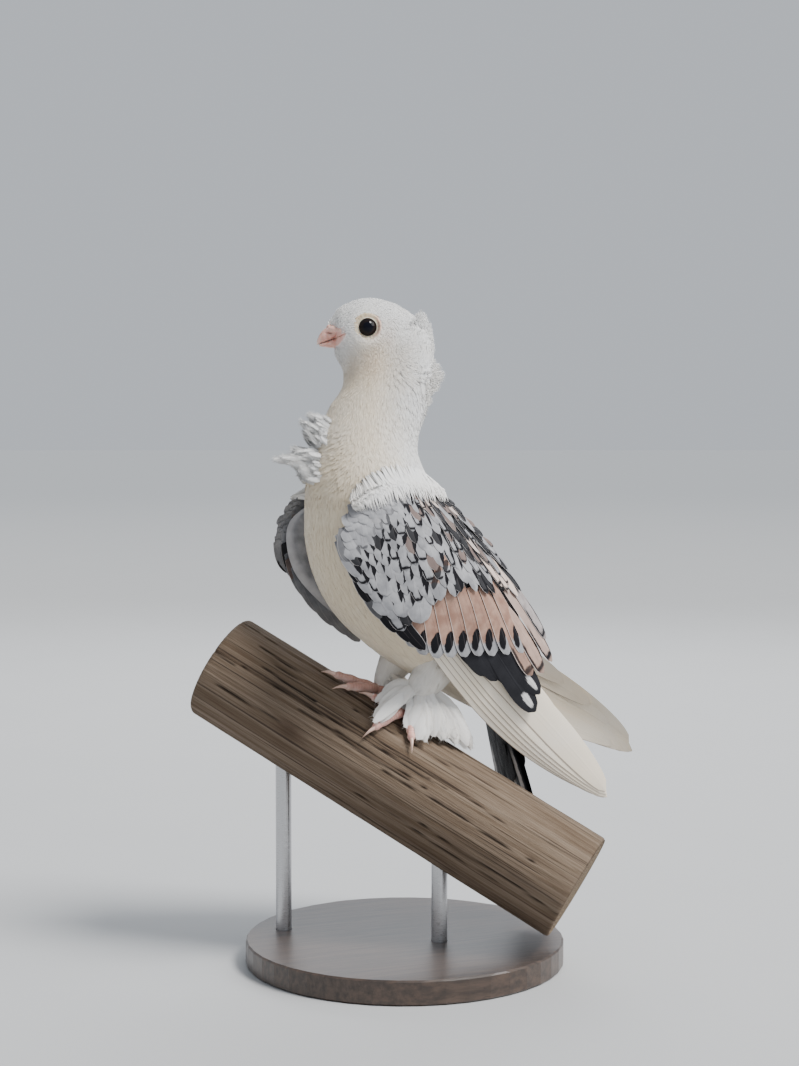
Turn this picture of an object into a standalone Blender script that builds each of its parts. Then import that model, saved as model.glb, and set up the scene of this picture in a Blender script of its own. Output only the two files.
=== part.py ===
"""A satinette pigeon on a cut length of pole, held by a plain display stand.

Lengths in the constants are millimetres. The bird's own frame has X towards its
tail, its left side at -Y and +Z up, with its origin on the ridge of the pole under
the left foot. Every object is moved to the stand's frame at the end.
"""
import math
import random

import bmesh
import bpy
import numpy as np
from mathutils import Matrix, Vector

MM = 0.001
GAP = 0.3
# Welding distance and merging angle, tried in turn until a mesh stays closed
TIDY_STEPS = ((0.002, 1.0), (0.0004, 1.0), (0.0, 1.0), (0.0, 0.3), (0.002, 0.0), (0.0, 0.0))
SEED = 7

# Stand and pole
BASE_RADIUS = 80.0
BASE_THICK = 12.0
BASE_EDGE = 1.5
BASE_CENTRE = (2.0, -2.0)
BASE_TOP_Z = -112.0
ROD_RADIUS = 4.0
ROD_SINK = 14.0
ROD_BASE_SINK = 8.0
ROD_STATIONS = (-42.0, 52.0)
POLE_RADIUS = 28.0
POLE_PLAN = math.radians(-38.0)
POLE_SLOPE = math.radians(29.0)
POLE_REACH = (-96.0, 116.0)
POLE_RINGS = 7
POLE_SIDES = 26
BASE_SIDES = 44

# Trunk: one shape from brow to vent, cut into head, neck and torso.
# Each station holds the back line's (u, z), the front line's (u, z), the half
# width and the turn of the head in degrees. u runs back from the neck's axis.
NECK_AXIS_X = -10.0
TRUNK = (
    (-24.5, 198.0, -21.5, 183.0, 3.2, 17.0),
    (-20.9, 202.7, -22.5, 180.9, 7.4, 17.0),
    (-15.6, 205.7, -21.8, 178.5, 9.6, 17.0),
    (-10.2, 207.5, -20.6, 176.4, 10.9, 17.0),
    (-3.8, 207.9, -19.4, 174.2, 11.6, 17.0),
    (3.0, 206.5, -18.6, 172.0, 12.0, 17.0),
    (9.0, 204.2, -18.4, 169.6, 12.3, 17.0),
    (13.8, 200.0, -18.4, 167.0, 12.6, 17.0),
    (16.8, 194.0, -19.0, 164.0, 13.2, 16.5),
    (18.4, 185.0, -21.0, 160.2, 14.2, 16.0),
    (18.8, 175.4, -24.2, 155.8, 15.6, 15.0),
    (18.2, 165.4, -26.8, 151.0, 17.3, 13.0),
    (17.2, 155.4, -29.4, 145.6, 19.3, 11.0),
    (16.4, 145.6, -32.0, 138.2, 21.8, 8.0),
    (16.8, 136.4, -34.4, 129.2, 25.0, 5.0),
    (18.8, 127.9, -36.4, 120.4, 28.4, 2.0),
    (22.3, 120.2, -37.4, 111.4, 31.4, 0.0),
    (27.7, 112.8, -37.8, 101.0, 33.8, 0.0),
    (34.0, 105.0, -37.6, 89.0, 35.4, 0.0),
    (40.5, 96.0, -35.2, 76.6, 36.0, 0.0),
    (47.0, 85.0, -31.0, 65.0, 35.6, 0.0),
    (53.5, 72.5, -25.0, 54.6, 34.2, 0.0),
    (59.5, 59.5, -17.4, 45.4, 31.8, 0.0),
    (65.0, 47.0, -8.2, 37.4, 28.6, 0.0),
    (69.5, 35.0, 2.6, 29.0, 24.6, 0.0),
    (72.5, 24.5, 15.0, 21.4, 20.0, 0.0),
    (73.5, 15.0, 28.5, 13.6, 15.6, 0.0),
    (72.0, 8.0, 41.5, 6.0, 12.0, 0.0),
    (69.0, 3.0, 52.5, 0.5, 9.0, 0.0),
)
HEAD_NECK_CUT = 9.0
NECK_TORSO_CUT = 16.5
TRUNK_SIDES = 24
FRONT_FULLNESS = 0.05
CUTTER_RINGS = 16
CUTTER_SIDES = 20
CUTTER_GROWTH = 0.8

# Bill: (u, top z, bottom z, half width) from base to tip
BILL_UPPER = (
    (-17.0, 195.3, 189.7, 4.6),
    (-21.0, 194.9, 188.9, 4.5),
    (-24.0, 194.3, 187.7, 4.1),
    (-27.0, 193.4, 186.6, 3.3),
    (-29.2, 191.6, 185.9, 2.5),
    (-30.8, 189.2, 185.3, 1.7),
    (-31.7, 186.9, 184.9, 0.9),
)
BILL_LOWER = (
    (-17.0, 189.4, 182.9, 4.3),
    (-21.0, 188.6, 183.1, 4.1),
    (-24.0, 187.4, 183.3, 3.5),
    (-27.0, 186.3, 183.7, 2.6),
    (-29.2, 185.6, 184.0, 1.7),
    (-30.6, 185.0, 184.2, 0.9),
)
BILL_SIDES = 12
CERE_PLACE = (-24.6, 1.9, 193.2)
CERE_SIZE = (3.4, 1.9, 1.7)
NOSTRIL_PLACE = (-25.4, 3.2, 190.9)
NOSTRIL_SIZE = (1.9, 0.9, 0.5)

# Eyes, in the turned head's frame
EYE_PLACE = (-7.2, 193.2)
EYE_DEPTH = 7.0
EYE_RADIUS = 5.3
LID_RADIUS = 5.3
LID_THICK = 1.0
LID_DEPTH = 10.9
LID_STEPS = 16
LID_SIDES = 5

# Wings, in wing coordinates: s from wrist to tip, t up from that line
WRIST = (-43.0, 97.0)
WING_LENGTH = 216.0
WING_DIP = math.radians(43.0)
WING_HEIGHT_S = (-12.0, 15.0, 45.0, 75.0, 105.0, 135.0, 165.0, 195.0, 220.0)
WING_HEIGHT = (40.5, 43.5, 44.0, 41.5, 35.5, 28.0, 21.0, 15.5, 12.5)
WING_CURL_FROM = 10.0
WING_CURL = 0.0155
WING_TUCK_FROM = -5.0
WING_TUCK = 0.012
SHIELD_LOWER = ((0.5, 14.0), (-1.0, 2.0), (10.0, -9.0), (26.0, -16.0), (50.0, -18.5), (72.0, -16.0))
SHIELD_UPPER = ((14.0, 41.0), (25.0, 47.0), (40.0, 51.0), (62.0, 51.0), (86.0, 46.0), (104.0, 39.0))
SHIELD_FULLER_RIGHT = 7.5
SHIELD_DEPTH = 1.1
SHIELD_THICK = 12.0
VANE = 0.5
VANE_STEP = 0.85

COVERT_TIERS = 4
COVERTS_ACROSS = 5
COVERT_FIRST = 0.06
COVERT_LAST = 0.9
COVERT_LENGTH = 28.0
COVERT_HALF = 7.0
COVERT_SHAPE = ((0.0, 0.7), (0.65, 1.0), (1.0, 0.4))

PRIMARY_TIPS = (
    (207.0, -1.5),
    (216.0, 0.5),
    (213.0, 3.0),
    (204.0, 6.0),
    (193.0, 8.5),
    (181.0, 10.5),
    (169.0, 12.0),
    (157.0, 13.0),
)
SECONDARY_TIPS = (
    (82.0, -14.0),
    (91.0, -11.0),
    (100.0, -7.0),
    (109.0, -3.0),
    (118.0, 2.0),
    (127.0, 7.0),
)
TERTIAL_TIPS = ((145.0, 8.5), (146.0, 14.0), (142.0, 20.5), (136.0, 28.0))
RAISED_RIGHT = (math.radians(7.6), math.radians(2.5), math.radians(1.2))

# Tail
TAIL_ROOT = (50.5, 0.0, 12.0)
TAIL_DIP = math.radians(74.0)
TAIL_LENGTH = 112.0
TAIL_FEATHERS = 10
TAIL_STEPS = 6
TAIL_HALF_FAN = 16.0
TAIL_VANE_HALF = 8.5

# Legs: (x, y, z, radius) down each leg to the ankle
LEG_LEFT = ((17.0, -14.0, 30.0, 11.0), (11.0, -12.0, 20.0, 9.0), (5.0, -9.0, 12.0, 6.2), (1.5, -7.0, 6.0, 4.2))
LEG_RIGHT = ((9.0, 13.0, 34.0, 11.0), (2.0, 10.5, 25.0, 8.5), (-4.0, 8.0, 17.5, 6.0), (-6.5, 6.5, 12.5, 4.2))
# Tips of the leg feathers: along the pole, angle round it, height above it
MUFF_LEFT = ((10.0, 30.0, 3.0), (20.0, 22.0, 3.0), (29.0, 10.0, 3.4), (36.0, -8.0, 3.6),
             (35.0, -28.0, 3.4), (20.0, -32.0, 3.2), (28.0, -6.0, 6.0))
MUFF_RIGHT = ((-2.0, -34.0, 3.0), (4.0, -26.0, 3.2), (-10.0, -38.0, 3.2), (7.0, -14.0, 5.0), (0.0, -22.0, 6.0))
LOCK_SINK = 2.0
LOCK_SHAPE = ((0.0, 0.8), (0.55, 1.0), (1.0, 0.18))
TOE_RADIUS = 2.3
CLAW_RADIUS = 1.25
CLAW_LENGTH = 6.5
# Each toe: distance along the pole and angle round it at the toe's end, in
# millimetres and degrees, from the ball of its foot
FOOT_LEFT = (0.5, 3.0, ((-18.0, 13.0), (-6.5, 47.0), (12.0, 36.0), (6.0, -38.0)))
FOOT_RIGHT = (-17.5, -8.0, ((-31.0, 22.0), (-40.0, 14.0), (-29.0, -42.0), (-9.0, -40.0)))

WHITE = (0.87, 0.84, 0.78)
CREAM = (0.86, 0.80, 0.68)
ASH = (0.42, 0.41, 0.42)
CHARCOAL = (0.05, 0.05, 0.055)
FLESH = (0.72, 0.42, 0.36)
HORN = (0.60, 0.40, 0.33)
EYE_DARK = (0.012, 0.010, 0.016)
WOOD = (0.20, 0.14, 0.09)
STEEL = (0.55, 0.55, 0.56)
PLATE = (0.16, 0.15, 0.14)


def clear_scene():
    """Remove whatever the scene holds at the start."""
    for item in list(bpy.data.objects):
        bpy.data.objects.remove(item, do_unlink=True)


def new_collection(name):
    """Make a collection and link it to the scene."""
    group = bpy.data.collections.new(name)
    bpy.context.scene.collection.children.link(group)
    return group


def material(name, colour, roughness, metallic=0.0):
    """Make a Principled material."""
    made = bpy.data.materials.new(name)
    made.use_nodes = True
    shader = made.node_tree.nodes["Principled BSDF"]
    shader.inputs["Base Color"].default_value = (*colour, 1.0)
    shader.inputs["Roughness"].default_value = roughness
    shader.inputs["Metallic"].default_value = metallic
    made.diffuse_color = (*colour, 1.0)
    return made


def solid(name, points, faces, group):
    """Make a closed mesh object from points in millimetres, faces out."""
    mesh = bpy.data.meshes.new(name)
    mesh.from_pydata([tuple(c * MM for c in p) for p in points], [], faces)
    work = bmesh.new()
    work.from_mesh(mesh)
    bmesh.ops.triangulate(work, faces=[f for f in work.faces if len(f.verts) > 3])
    bmesh.ops.recalc_face_normals(work, faces=work.faces)
    if work.calc_volume(signed=True) < 0.0:
        bmesh.ops.reverse_faces(work, faces=work.faces)
    work.to_mesh(mesh)
    work.free()
    item = bpy.data.objects.new(name, mesh)
    group.objects.link(item)
    return item


def primitive(name, group, build, matrix):
    """Make an object from a bmesh primitive under a matrix, in millimetres."""
    work = bmesh.new()
    build(work)
    bmesh.ops.transform(work, matrix=Matrix.Scale(MM, 4) @ matrix, verts=work.verts)
    bmesh.ops.triangulate(work, faces=work.faces)
    bmesh.ops.recalc_face_normals(work, faces=work.faces)
    mesh = bpy.data.meshes.new(name)
    work.to_mesh(mesh)
    work.free()
    item = bpy.data.objects.new(name, mesh)
    group.objects.link(item)
    return item


def ellipsoid(name, group, place, size, turn=0.0, segments=10, rings=5):
    """An ellipsoid with half axes size, turned about Z."""
    matrix = Matrix.Translation(place) @ Matrix.Rotation(turn, 4, "Z") @ Matrix.Diagonal((*size, 1.0))

    def build(work):
        bmesh.ops.create_uvsphere(work, u_segments=segments, v_segments=rings, radius=1.0)

    return primitive(name, group, build, matrix)


def loft(name, rings, group):
    """Join rings of equal length by faces and close both ends with a fan."""
    sides = len(rings[0])
    points = [tuple(p) for ring in rings for p in ring]
    faces = []
    for i in range(len(rings) - 1):
        for k in range(sides):
            a = i * sides + k
            b = i * sides + (k + 1) % sides
            faces.append((a, b, b + sides, a + sides))
    for i in (0, len(rings) - 1):
        centre = np.mean([list(p) for p in rings[i]], axis=0)
        points.append(tuple(centre))
        for k in range(sides):
            faces.append((len(points) - 1, i * sides + k, i * sides + (k + 1) % sides))
    return solid(name, points, faces, group)


def plate(name, upper, lower, group):
    """A thin plate between two grids of points, split into triangles alike."""
    rows = len(upper)
    columns = len(upper[0])
    points = [tuple(p) for row in upper for p in row] + [tuple(p) for row in lower for p in row]
    half = rows * columns
    faces = []
    for i in range(rows - 1):
        for k in range(columns - 1):
            a = i * columns + k
            b = a + 1
            c = b + columns
            d = a + columns
            faces += [(a, b, c), (a, c, d)]
            faces += [(a + half, c + half, b + half), (a + half, d + half, c + half)]
    rim = [k for k in range(columns)]
    rim += [i * columns + columns - 1 for i in range(1, rows)]
    rim += [(rows - 1) * columns + k for k in range(columns - 2, -1, -1)]
    rim += [i * columns for i in range(rows - 2, 0, -1)]
    for a, b in zip(rim, rim[1:] + rim[:1]):
        faces += [(a, a + half, b + half), (a, b + half, b)]
    return solid(name, points, faces, group)


def evaluated_mesh(item):
    """The mesh of an object with its modifiers applied."""
    bpy.context.view_layer.update()
    graph = bpy.context.evaluated_depsgraph_get()
    return bpy.data.meshes.new_from_object(item.evaluated_get(graph), depsgraph=graph)


def keep_largest(mesh):
    """Leave only the largest closed surface in a mesh."""
    for weld, flat in TIDY_STEPS:
        work = tidied(mesh, weld, flat)
        if is_closed(work):
            break
        work.free()
    seen = set()
    shells = []
    for start in work.faces:
        if start.index in seen:
            continue
        seen.add(start.index)
        shell = [start]
        for face in shell:
            for edge in face.edges:
                for other in edge.link_faces:
                    if other.index not in seen:
                        seen.add(other.index)
                        shell.append(other)
        shells.append(shell)
    shells.sort(key=span, reverse=True)
    loose = [face for shell in shells[1:] for face in shell]
    bmesh.ops.delete(work, geom=loose, context="FACES")
    work.to_mesh(mesh)
    work.free()


def tidied(mesh, weld, flat):
    """The mesh in triangles, after welding and merging faces within flat degrees."""
    work = bmesh.new()
    work.from_mesh(mesh)
    if weld > 0.0:
        bmesh.ops.remove_doubles(work, verts=work.verts, dist=weld * MM)
        bmesh.ops.dissolve_degenerate(work, edges=work.edges, dist=weld * MM)
    if flat > 0.0:
        bmesh.ops.dissolve_limit(work, angle_limit=math.radians(flat), verts=work.verts, edges=work.edges)
    bmesh.ops.triangulate(work, faces=work.faces)
    return work


def is_closed(work):
    """Whether every edge joins two faces that run opposite ways along it."""
    return all(edge.is_contiguous and len(edge.link_faces) == 2 for edge in work.edges)


def span(shell):
    """The volume inside a closed set of triangles."""
    total = 0.0
    for face in shell:
        a, b, c = (v.co for v in face.verts)
        total += a.dot(b.cross(c)) / 6.0
    return total


def combine(item, pieces, operation, solver="EXACT"):
    """Apply one Boolean of a collection of closed pieces and remove them."""
    group = new_collection("pieces_" + item.name)
    for piece in pieces:
        for owner in list(piece.users_collection):
            owner.objects.unlink(piece)
        group.objects.link(piece)
    change = item.modifiers.new("combine", "BOOLEAN")
    change.operation = operation
    change.operand_type = "COLLECTION"
    change.collection = group
    change.solver = solver
    mesh = evaluated_mesh(item)
    item.modifiers.clear()
    item.data = mesh
    keep_largest(mesh)
    for piece in pieces:
        bpy.data.objects.remove(piece, do_unlink=True)
    bpy.data.collections.remove(group)


def grown(item, distance, group):
    """A copy of an object moved out along its normals, for a cut with a gap."""
    copy = bpy.data.objects.new(item.name + "_grown", item.data.copy())
    group.objects.link(copy)
    work = bmesh.new()
    work.from_mesh(copy.data)
    work.normal_update()
    shift = [v.normal * (distance * MM) for v in work.verts]
    for vertex, step in zip(work.verts, shift):
        vertex.co += step
    work.to_mesh(copy.data)
    work.free()
    copy.hide_render = True
    copy.display_type = "WIRE"
    return copy


def eased(rows, place):
    """Read a table of rows at a real index by a smooth curve."""
    rows = np.asarray(rows, float)
    last = len(rows) - 1
    i = min(max(int(math.floor(place)), 0), last - 1)
    f = min(max(place - i, 0.0), 1.0)
    before = rows[max(i - 1, 0)]
    after = rows[min(i + 2, last)]
    a, b = rows[i], rows[i + 1]
    m0 = (b - before) * 0.5
    m1 = (after - a) * 0.5
    f2 = f * f
    f3 = f2 * f
    return (2 * f3 - 3 * f2 + 1) * a + (f3 - 2 * f2 + f) * m0 + (3 * f2 - 2 * f3) * b + (f3 - f2) * m1


def turned(u, v, z, turn):
    """A point of the turned head or neck, u back and v to the right."""
    angle = math.radians(turn)
    x = NECK_AXIS_X + u * math.cos(angle) + v * math.sin(angle)
    y = -u * math.sin(angle) + v * math.cos(angle)
    return Vector((x, y, z))


def trunk_ring(place, push=0.0, sides=TRUNK_SIDES):
    """One section of the trunk, pushed along its plane's normal."""
    ub, zb, uf, zf, width, turn = eased(TRUNK, place)
    length = math.hypot(ub - uf, zb - zf)
    nu, nz = (zb - zf) / length, -(ub - uf) / length
    ring = []
    for k in range(sides):
        angle = 2.0 * math.pi * k / sides
        along = 0.5 * math.cos(angle)
        u = 0.5 * (ub + uf) + along * (ub - uf) + push * nu
        z = 0.5 * (zb + zf) + along * (zb - zf) + push * nz
        v = width * math.sin(angle) * (1.0 - FRONT_FULLNESS * math.cos(angle))
        ring.append(turned(u, v, z, turn))
    return ring


def trunk_surface(place, angle):
    """A point of the trunk's surface and its outward normal."""
    ub, zb, uf, zf, width, turn = eased(TRUNK, place)
    along = 0.5 * math.cos(angle)
    u = 0.5 * (ub + uf) + along * (ub - uf)
    z = 0.5 * (zb + zf) + along * (zb - zf)
    v = width * math.sin(angle) * (1.0 - FRONT_FULLNESS * math.cos(angle))
    return turned(u, v, z, turn)


def trunk_frame(place, angle):
    """Point, outward normal and the direction down the trunk there."""
    step = 0.02
    point = trunk_surface(place, angle)
    down = (trunk_surface(place + step, angle) - trunk_surface(place - step, angle)).normalized()
    around = (trunk_surface(place, angle + step) - trunk_surface(place, angle - step)).normalized()
    normal = around.cross(down).normalized()
    centre = (trunk_surface(place, 0.0) + trunk_surface(place, math.pi)) * 0.5
    if normal.dot(point - centre) < 0.0:
        normal = -normal
    return point, normal, down


def trunk_part(name, first, last, rings, group):
    """The part of the trunk between two stations, with half the gap at a cut."""
    places = [first + (last - first) * i / (rings - 1) for i in range(rings)]
    sections = [trunk_ring(p) for p in places]
    end = len(TRUNK) - 1
    if first > 0.0:
        sections[0] = trunk_ring(first, push_sign(first) * GAP * 0.5)
    if last < end:
        sections[-1] = trunk_ring(last, -push_sign(last) * GAP * 0.5)
    return loft(name, sections, group)


def push_sign(place):
    """Whether the section's normal points down the trunk there."""
    ub, zb, uf, zf, width, turn = eased(TRUNK, place)
    ub2, zb2, uf2, zf2, width2, turn2 = eased(TRUNK, place + 0.05)
    nu, nz = (zb - zf), -(ub - uf)
    du, dz = (ub2 + uf2 - ub - uf), (zb2 + zf2 - zb - zf)
    return 1.0 if nu * du + nz * dz > 0.0 else -1.0


def vane(name, group, path, sides, normals, widths, thick=VANE, taper=0.6):
    """A straight feather's vane along a path, thin at its tip."""
    upper = []
    lower = []
    last = len(path) - 1
    for i, (point, side, normal, width) in enumerate(zip(path, sides, normals, widths)):
        lead, trail = width
        depth = thick * (taper if i == last else 1.0)
        across = (point - side * lead, point + side * trail)
        upper.append([p + normal * depth * 0.5 for p in across])
        lower.append([p - normal * depth * 0.5 for p in across])
    return plate(name, upper, lower, group)


def outline(share, root=0.45, tip=0.12, full=0.6):
    """A feather's relative width at a share of its length, rounded at the tip."""
    if share < full:
        return root + (1.0 - root) * math.sin(0.5 * math.pi * share / full)
    fall = (share - full) / (1.0 - full)
    return tip + (1.0 - tip) * math.sqrt(max(0.0, 1.0 - fall * fall))


def wing_height(s, t):
    """How far the folded wing's outer surface stands from the bird's middle."""
    height = float(np.interp(s, WING_HEIGHT_S, WING_HEIGHT))
    curl = max(0.0, t - WING_CURL_FROM)
    tuck = max(0.0, WING_TUCK_FROM - t)
    return height - WING_CURL * curl * curl - WING_TUCK * tuck * tuck


def wing_point(s, t, depth, side):
    """A point under the folded wing's surface; side is -1 left, 1 right."""
    ds, dt = math.cos(WING_DIP), math.sin(WING_DIP)
    step = 1.0
    slope_s = (wing_height(s + step, t) - wing_height(s - step, t)) / (2.0 * step)
    slope_t = (wing_height(s, t + step) - wing_height(s, t - step)) / (2.0 * step)
    slope_s = max(-0.35, min(0.35, slope_s))
    length = math.sqrt(1.0 + slope_s * slope_s + slope_t * slope_t)
    s_in = s + slope_s * depth / length
    t_in = t + slope_t * depth / length
    x = WRIST[0] + s_in * ds + t_in * dt
    z = WRIST[1] - s_in * dt + t_in * ds
    y = wing_height(s, t) - depth / length
    return Vector((x, side * y, z))


def raised(s, t, lift):
    """Wing coordinates turned up about the wrist."""
    return s * math.cos(lift) - t * math.sin(lift), s * math.sin(lift) + t * math.cos(lift)


def wing_vane(name, group, side, root, tip, bow, lead, trail, depth, tilt, lift=0.0, stations=6, columns=3):
    """A flight feather laid in the wing's surface, tilted like a roof tile."""
    upper = []
    lower = []
    ds, dt = tip[0] - root[0], tip[1] - root[1]
    length = math.hypot(ds, dt)
    ds, dt = ds / length, dt / length
    for i in range(stations):
        share = i / (stations - 1)
        share = share ** 0.8
        wide = outline(share, root=0.6, tip=0.08, full=0.66)
        off = bow * math.sin(math.pi * share)
        s = root[0] + ds * length * share - dt * off
        t = root[1] + dt * length * share + ds * off
        top = []
        bottom = []
        for reach in np.linspace(-lead * wide, trail * wide, columns):
            ps, pt = raised(s - dt * reach, t + ds * reach, lift)
            low = depth - tilt * reach
            thick = VANE * (0.6 if i == stations - 1 else 1.0)
            top.append(wing_point(ps, pt, low, side))
            bottom.append(wing_point(ps, pt, low + thick, side))
        upper.append(top)
        lower.append(bottom)
    return plate(name, upper, lower, group)


def wing_shield(name, group, side):
    """The arm and its cover, a curved pad between the shield's two edges."""
    rows = 10
    columns = 8
    upper = []
    lower = []
    last = len(SHIELD_LOWER) - 1
    for i in range(rows):
        low = eased(SHIELD_LOWER, last * i / (rows - 1))
        high = eased(SHIELD_UPPER, last * i / (rows - 1))
        if side > 0.0:
            low = low - np.array((0.2, 1.0)) * SHIELD_FULLER_RIGHT * math.sin(math.pi * i / (rows - 1))
        top = []
        bottom = []
        for k in range(columns):
            f = k / (columns - 1)
            s, t = low * (1.0 - f) + high * f
            rim = min(1.0, 3.2 * min(f, 1.0 - f) + 0.16)
            nose = min(1.0, 3.0 * i / (rows - 1) + 0.2)
            thick = SHIELD_THICK * math.sqrt(min(rim, nose))
            crown = 1.6 * (1.0 - math.sqrt(min(rim, nose)))
            top.append(wing_point(s, t, SHIELD_DEPTH + crown, side))
            bottom.append(wing_point(s, t, SHIELD_DEPTH + crown + thick, side))
        upper.append(top)
        lower.append(bottom)
    return plate(name, upper, lower, group)


def covert(group, side, root, tip, half, deep=1.7, rise=2.1):
    """A rounded cover feather: its root in the shield, its tip just clear of it."""
    upper = []
    lower = []
    ds, dt = tip[0] - root[0], tip[1] - root[1]
    length = math.hypot(ds, dt)
    ds, dt = ds / length, dt / length
    for share, wide in COVERT_SHAPE:
        top = []
        bottom = []
        for reach in (-half * wide, half * wide):
            s = root[0] + ds * length * share - dt * reach
            t = root[1] + dt * length * share + ds * reach
            low = deep - rise * share
            top.append(wing_point(s, t, low, side))
            bottom.append(wing_point(s, t, low + VANE * (0.6 if share == 1.0 else 1.0), side))
        upper.append(top)
        lower.append(bottom)
    return plate("covert", upper, lower, group)


def wing_coverts(group, side, chance):
    """Tiers of cover feathers over the shield, each lapping the next."""
    pieces = []
    last = len(SHIELD_LOWER) - 1
    for tier in range(COVERT_TIERS):
        along = COVERT_FIRST + (COVERT_LAST - COVERT_FIRST) * tier / (COVERT_TIERS - 1)
        low = eased(SHIELD_LOWER, last * along)
        high = eased(SHIELD_UPPER, last * along)
        for k in range(COVERTS_ACROSS):
            f = (k + 0.5 + 0.25 * (tier % 2) - 0.12) / COVERTS_ACROSS
            s, t = low * (1.0 - f) + high * f
            length = COVERT_LENGTH * (0.85 + 0.3 * tier / COVERT_TIERS) + chance.uniform(-1.0, 1.0)
            half = COVERT_HALF * (0.95 + 0.2 * math.sin(math.pi * f))
            aim = math.radians(8.0 - 22.0 * f + chance.uniform(-3.0, 3.0))
            tip = (s + length * math.cos(aim), t + length * math.sin(aim))
            pieces.append(covert(group, side, (s, t), tip, half))
    return pieces


def wing(side, group, trunk_cutter):
    """A folded wing: shield, then primaries, secondaries and tertials in tiers."""
    name = "wing_left" if side < 0 else "wing_right"
    lifts = RAISED_RIGHT if side > 0 else (0.0, 0.0, 0.0)
    shield = wing_shield(name, group, side)
    pieces = []
    for k, tip in enumerate(PRIMARY_TIPS):
        root = (62.0 - 1.0 * k, -10.0 + 2.6 * k)
        depth = 10.6 - VANE_STEP * k
        pieces.append(wing_vane("primary", group, side, root, tip, -7.0 + 0.6 * k, 4.0, 8.0 + 0.4 * k,
                                depth, 0.0, lifts[0], 6, 2))
    for k, tip in enumerate(SECONDARY_TIPS):
        root = (40.0 + 7.0 * k, -11.0 + 6.0 * k)
        pieces.append(wing_vane("secondary", group, side, root, tip, -1.5, 6.5, 10.0,
                                3.2 - 0.1 * k, 0.09, lifts[1], 5, 2))
    for k, tip in enumerate(TERTIAL_TIPS):
        root = (82.0 - 2.0 * k, 20.0 + 6.0 * k)
        pieces.append(wing_vane("tertial", group, side, root, tip, 2.0, 8.0, 8.0,
                                1.6 - 0.1 * k, 0.09, lifts[2], 5, 3))
    pieces += wing_coverts(group, side, random.Random(SEED))
    combine(shield, pieces, "UNION")
    combine(shield, [trunk_cutter], "DIFFERENCE")
    return shield


def bill_part(name, rows, group, grow=0.0):
    """A half of the bill: rounded sections from base to tip."""
    rings = []
    for place in range(len(rows)):
        u, top, bottom, width = eased(rows, place)
        ring = []
        for k in range(BILL_SIDES):
            angle = 2.0 * math.pi * k / BILL_SIDES
            v = (width + grow) * math.sin(angle)
            z = 0.5 * (top + bottom) + (0.5 * (top - bottom) + grow) * math.cos(angle)
            ring.append(turned(u, v, z, TRUNK[0][5]))
        rings.append(ring)
    if grow > 0.0:
        ahead = turned(-1.0, 0.0, 0.0, TRUNK[0][5]) - turned(0.0, 0.0, 0.0, TRUNK[0][5])
        rings.insert(0, [p - ahead * grow for p in rings[0]])
    return loft(name, rings, group)


def head_and_bill(group):
    """Head with eye sockets and lids, eyes and both halves of the bill."""
    turn = TRUNK[0][5]
    head = trunk_part("head", 0.0, HEAD_NECK_CUT, 14, group)
    lids = []
    sockets = []
    eyes = []
    for side, name in ((-1.0, "eye_left"), (1.0, "eye_right")):
        centre = turned(EYE_PLACE[0], side * EYE_DEPTH, EYE_PLACE[1], turn)
        eyes.append(ellipsoid(name, group, centre, (EYE_RADIUS,) * 3, 0.0, 14, 8))
        sockets.append(ellipsoid("socket", group, centre, (EYE_RADIUS + GAP,) * 3, 0.0, 12, 6))
        ring_at = turned(EYE_PLACE[0], side * LID_DEPTH, EYE_PLACE[1], turn)
        lids.append(lid_ring(ring_at, side, turn, group))
    combine(head, lids + crest(group), "UNION")
    upper = bill_part("bill_upper", BILL_UPPER, group)
    lower = bill_part("bill_lower", BILL_LOWER, group)
    cutters = [bill_part("cutter", rows, group, GAP) for rows in (BILL_UPPER, BILL_LOWER)]
    bumps = []
    slits = []
    for side in (-1.0, 1.0):
        place = turned(CERE_PLACE[0], side * CERE_PLACE[1], CERE_PLACE[2], turn)
        bumps.append(ellipsoid("cere", group, place, CERE_SIZE, -math.radians(turn)))
        room = [half + GAP for half in CERE_SIZE]
        cutters.append(ellipsoid("cutter", group, place, room, -math.radians(turn)))
        place = turned(NOSTRIL_PLACE[0], side * NOSTRIL_PLACE[1], NOSTRIL_PLACE[2], turn)
        slits.append(ellipsoid("nostril", group, place, NOSTRIL_SIZE, -math.radians(turn), 10, 6))
    combine(head, sockets + cutters, "DIFFERENCE")
    combine(upper, bumps, "UNION")
    combine(upper, slits, "DIFFERENCE")
    return head, upper, lower, eyes


def lid_ring(centre, side, turn, group):
    """The rounded rim of lid and bare skin round an eye."""
    outward = (turned(0.0, side, 0.0, turn) - turned(0.0, 0.0, 0.0, turn)).normalized()
    frame = outward.to_track_quat("Z", "Y").to_matrix().to_4x4()
    rings = []
    for i in range(LID_STEPS):
        angle = 2.0 * math.pi * i / LID_STEPS
        spoke = frame @ Vector((math.cos(angle), math.sin(angle), 0.0))
        ring = []
        for k in range(LID_SIDES):
            around = 2.0 * math.pi * k / LID_SIDES
            reach = LID_RADIUS + LID_THICK * math.cos(around)
            ring.append(Vector(centre) + spoke * reach + outward * (LID_THICK * math.sin(around)))
        rings.append(ring)
    points = [tuple(p) for ring in rings for p in ring]
    faces = []
    for i in range(LID_STEPS):
        for k in range(LID_SIDES):
            beside = (k + 1) % LID_SIDES
            ahead = ((i + 1) % LID_STEPS) * LID_SIDES
            here = i * LID_SIDES
            faces.append((here + k, here + beside, ahead + beside, ahead + k))
    return solid("lid", points, faces, group)


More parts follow.
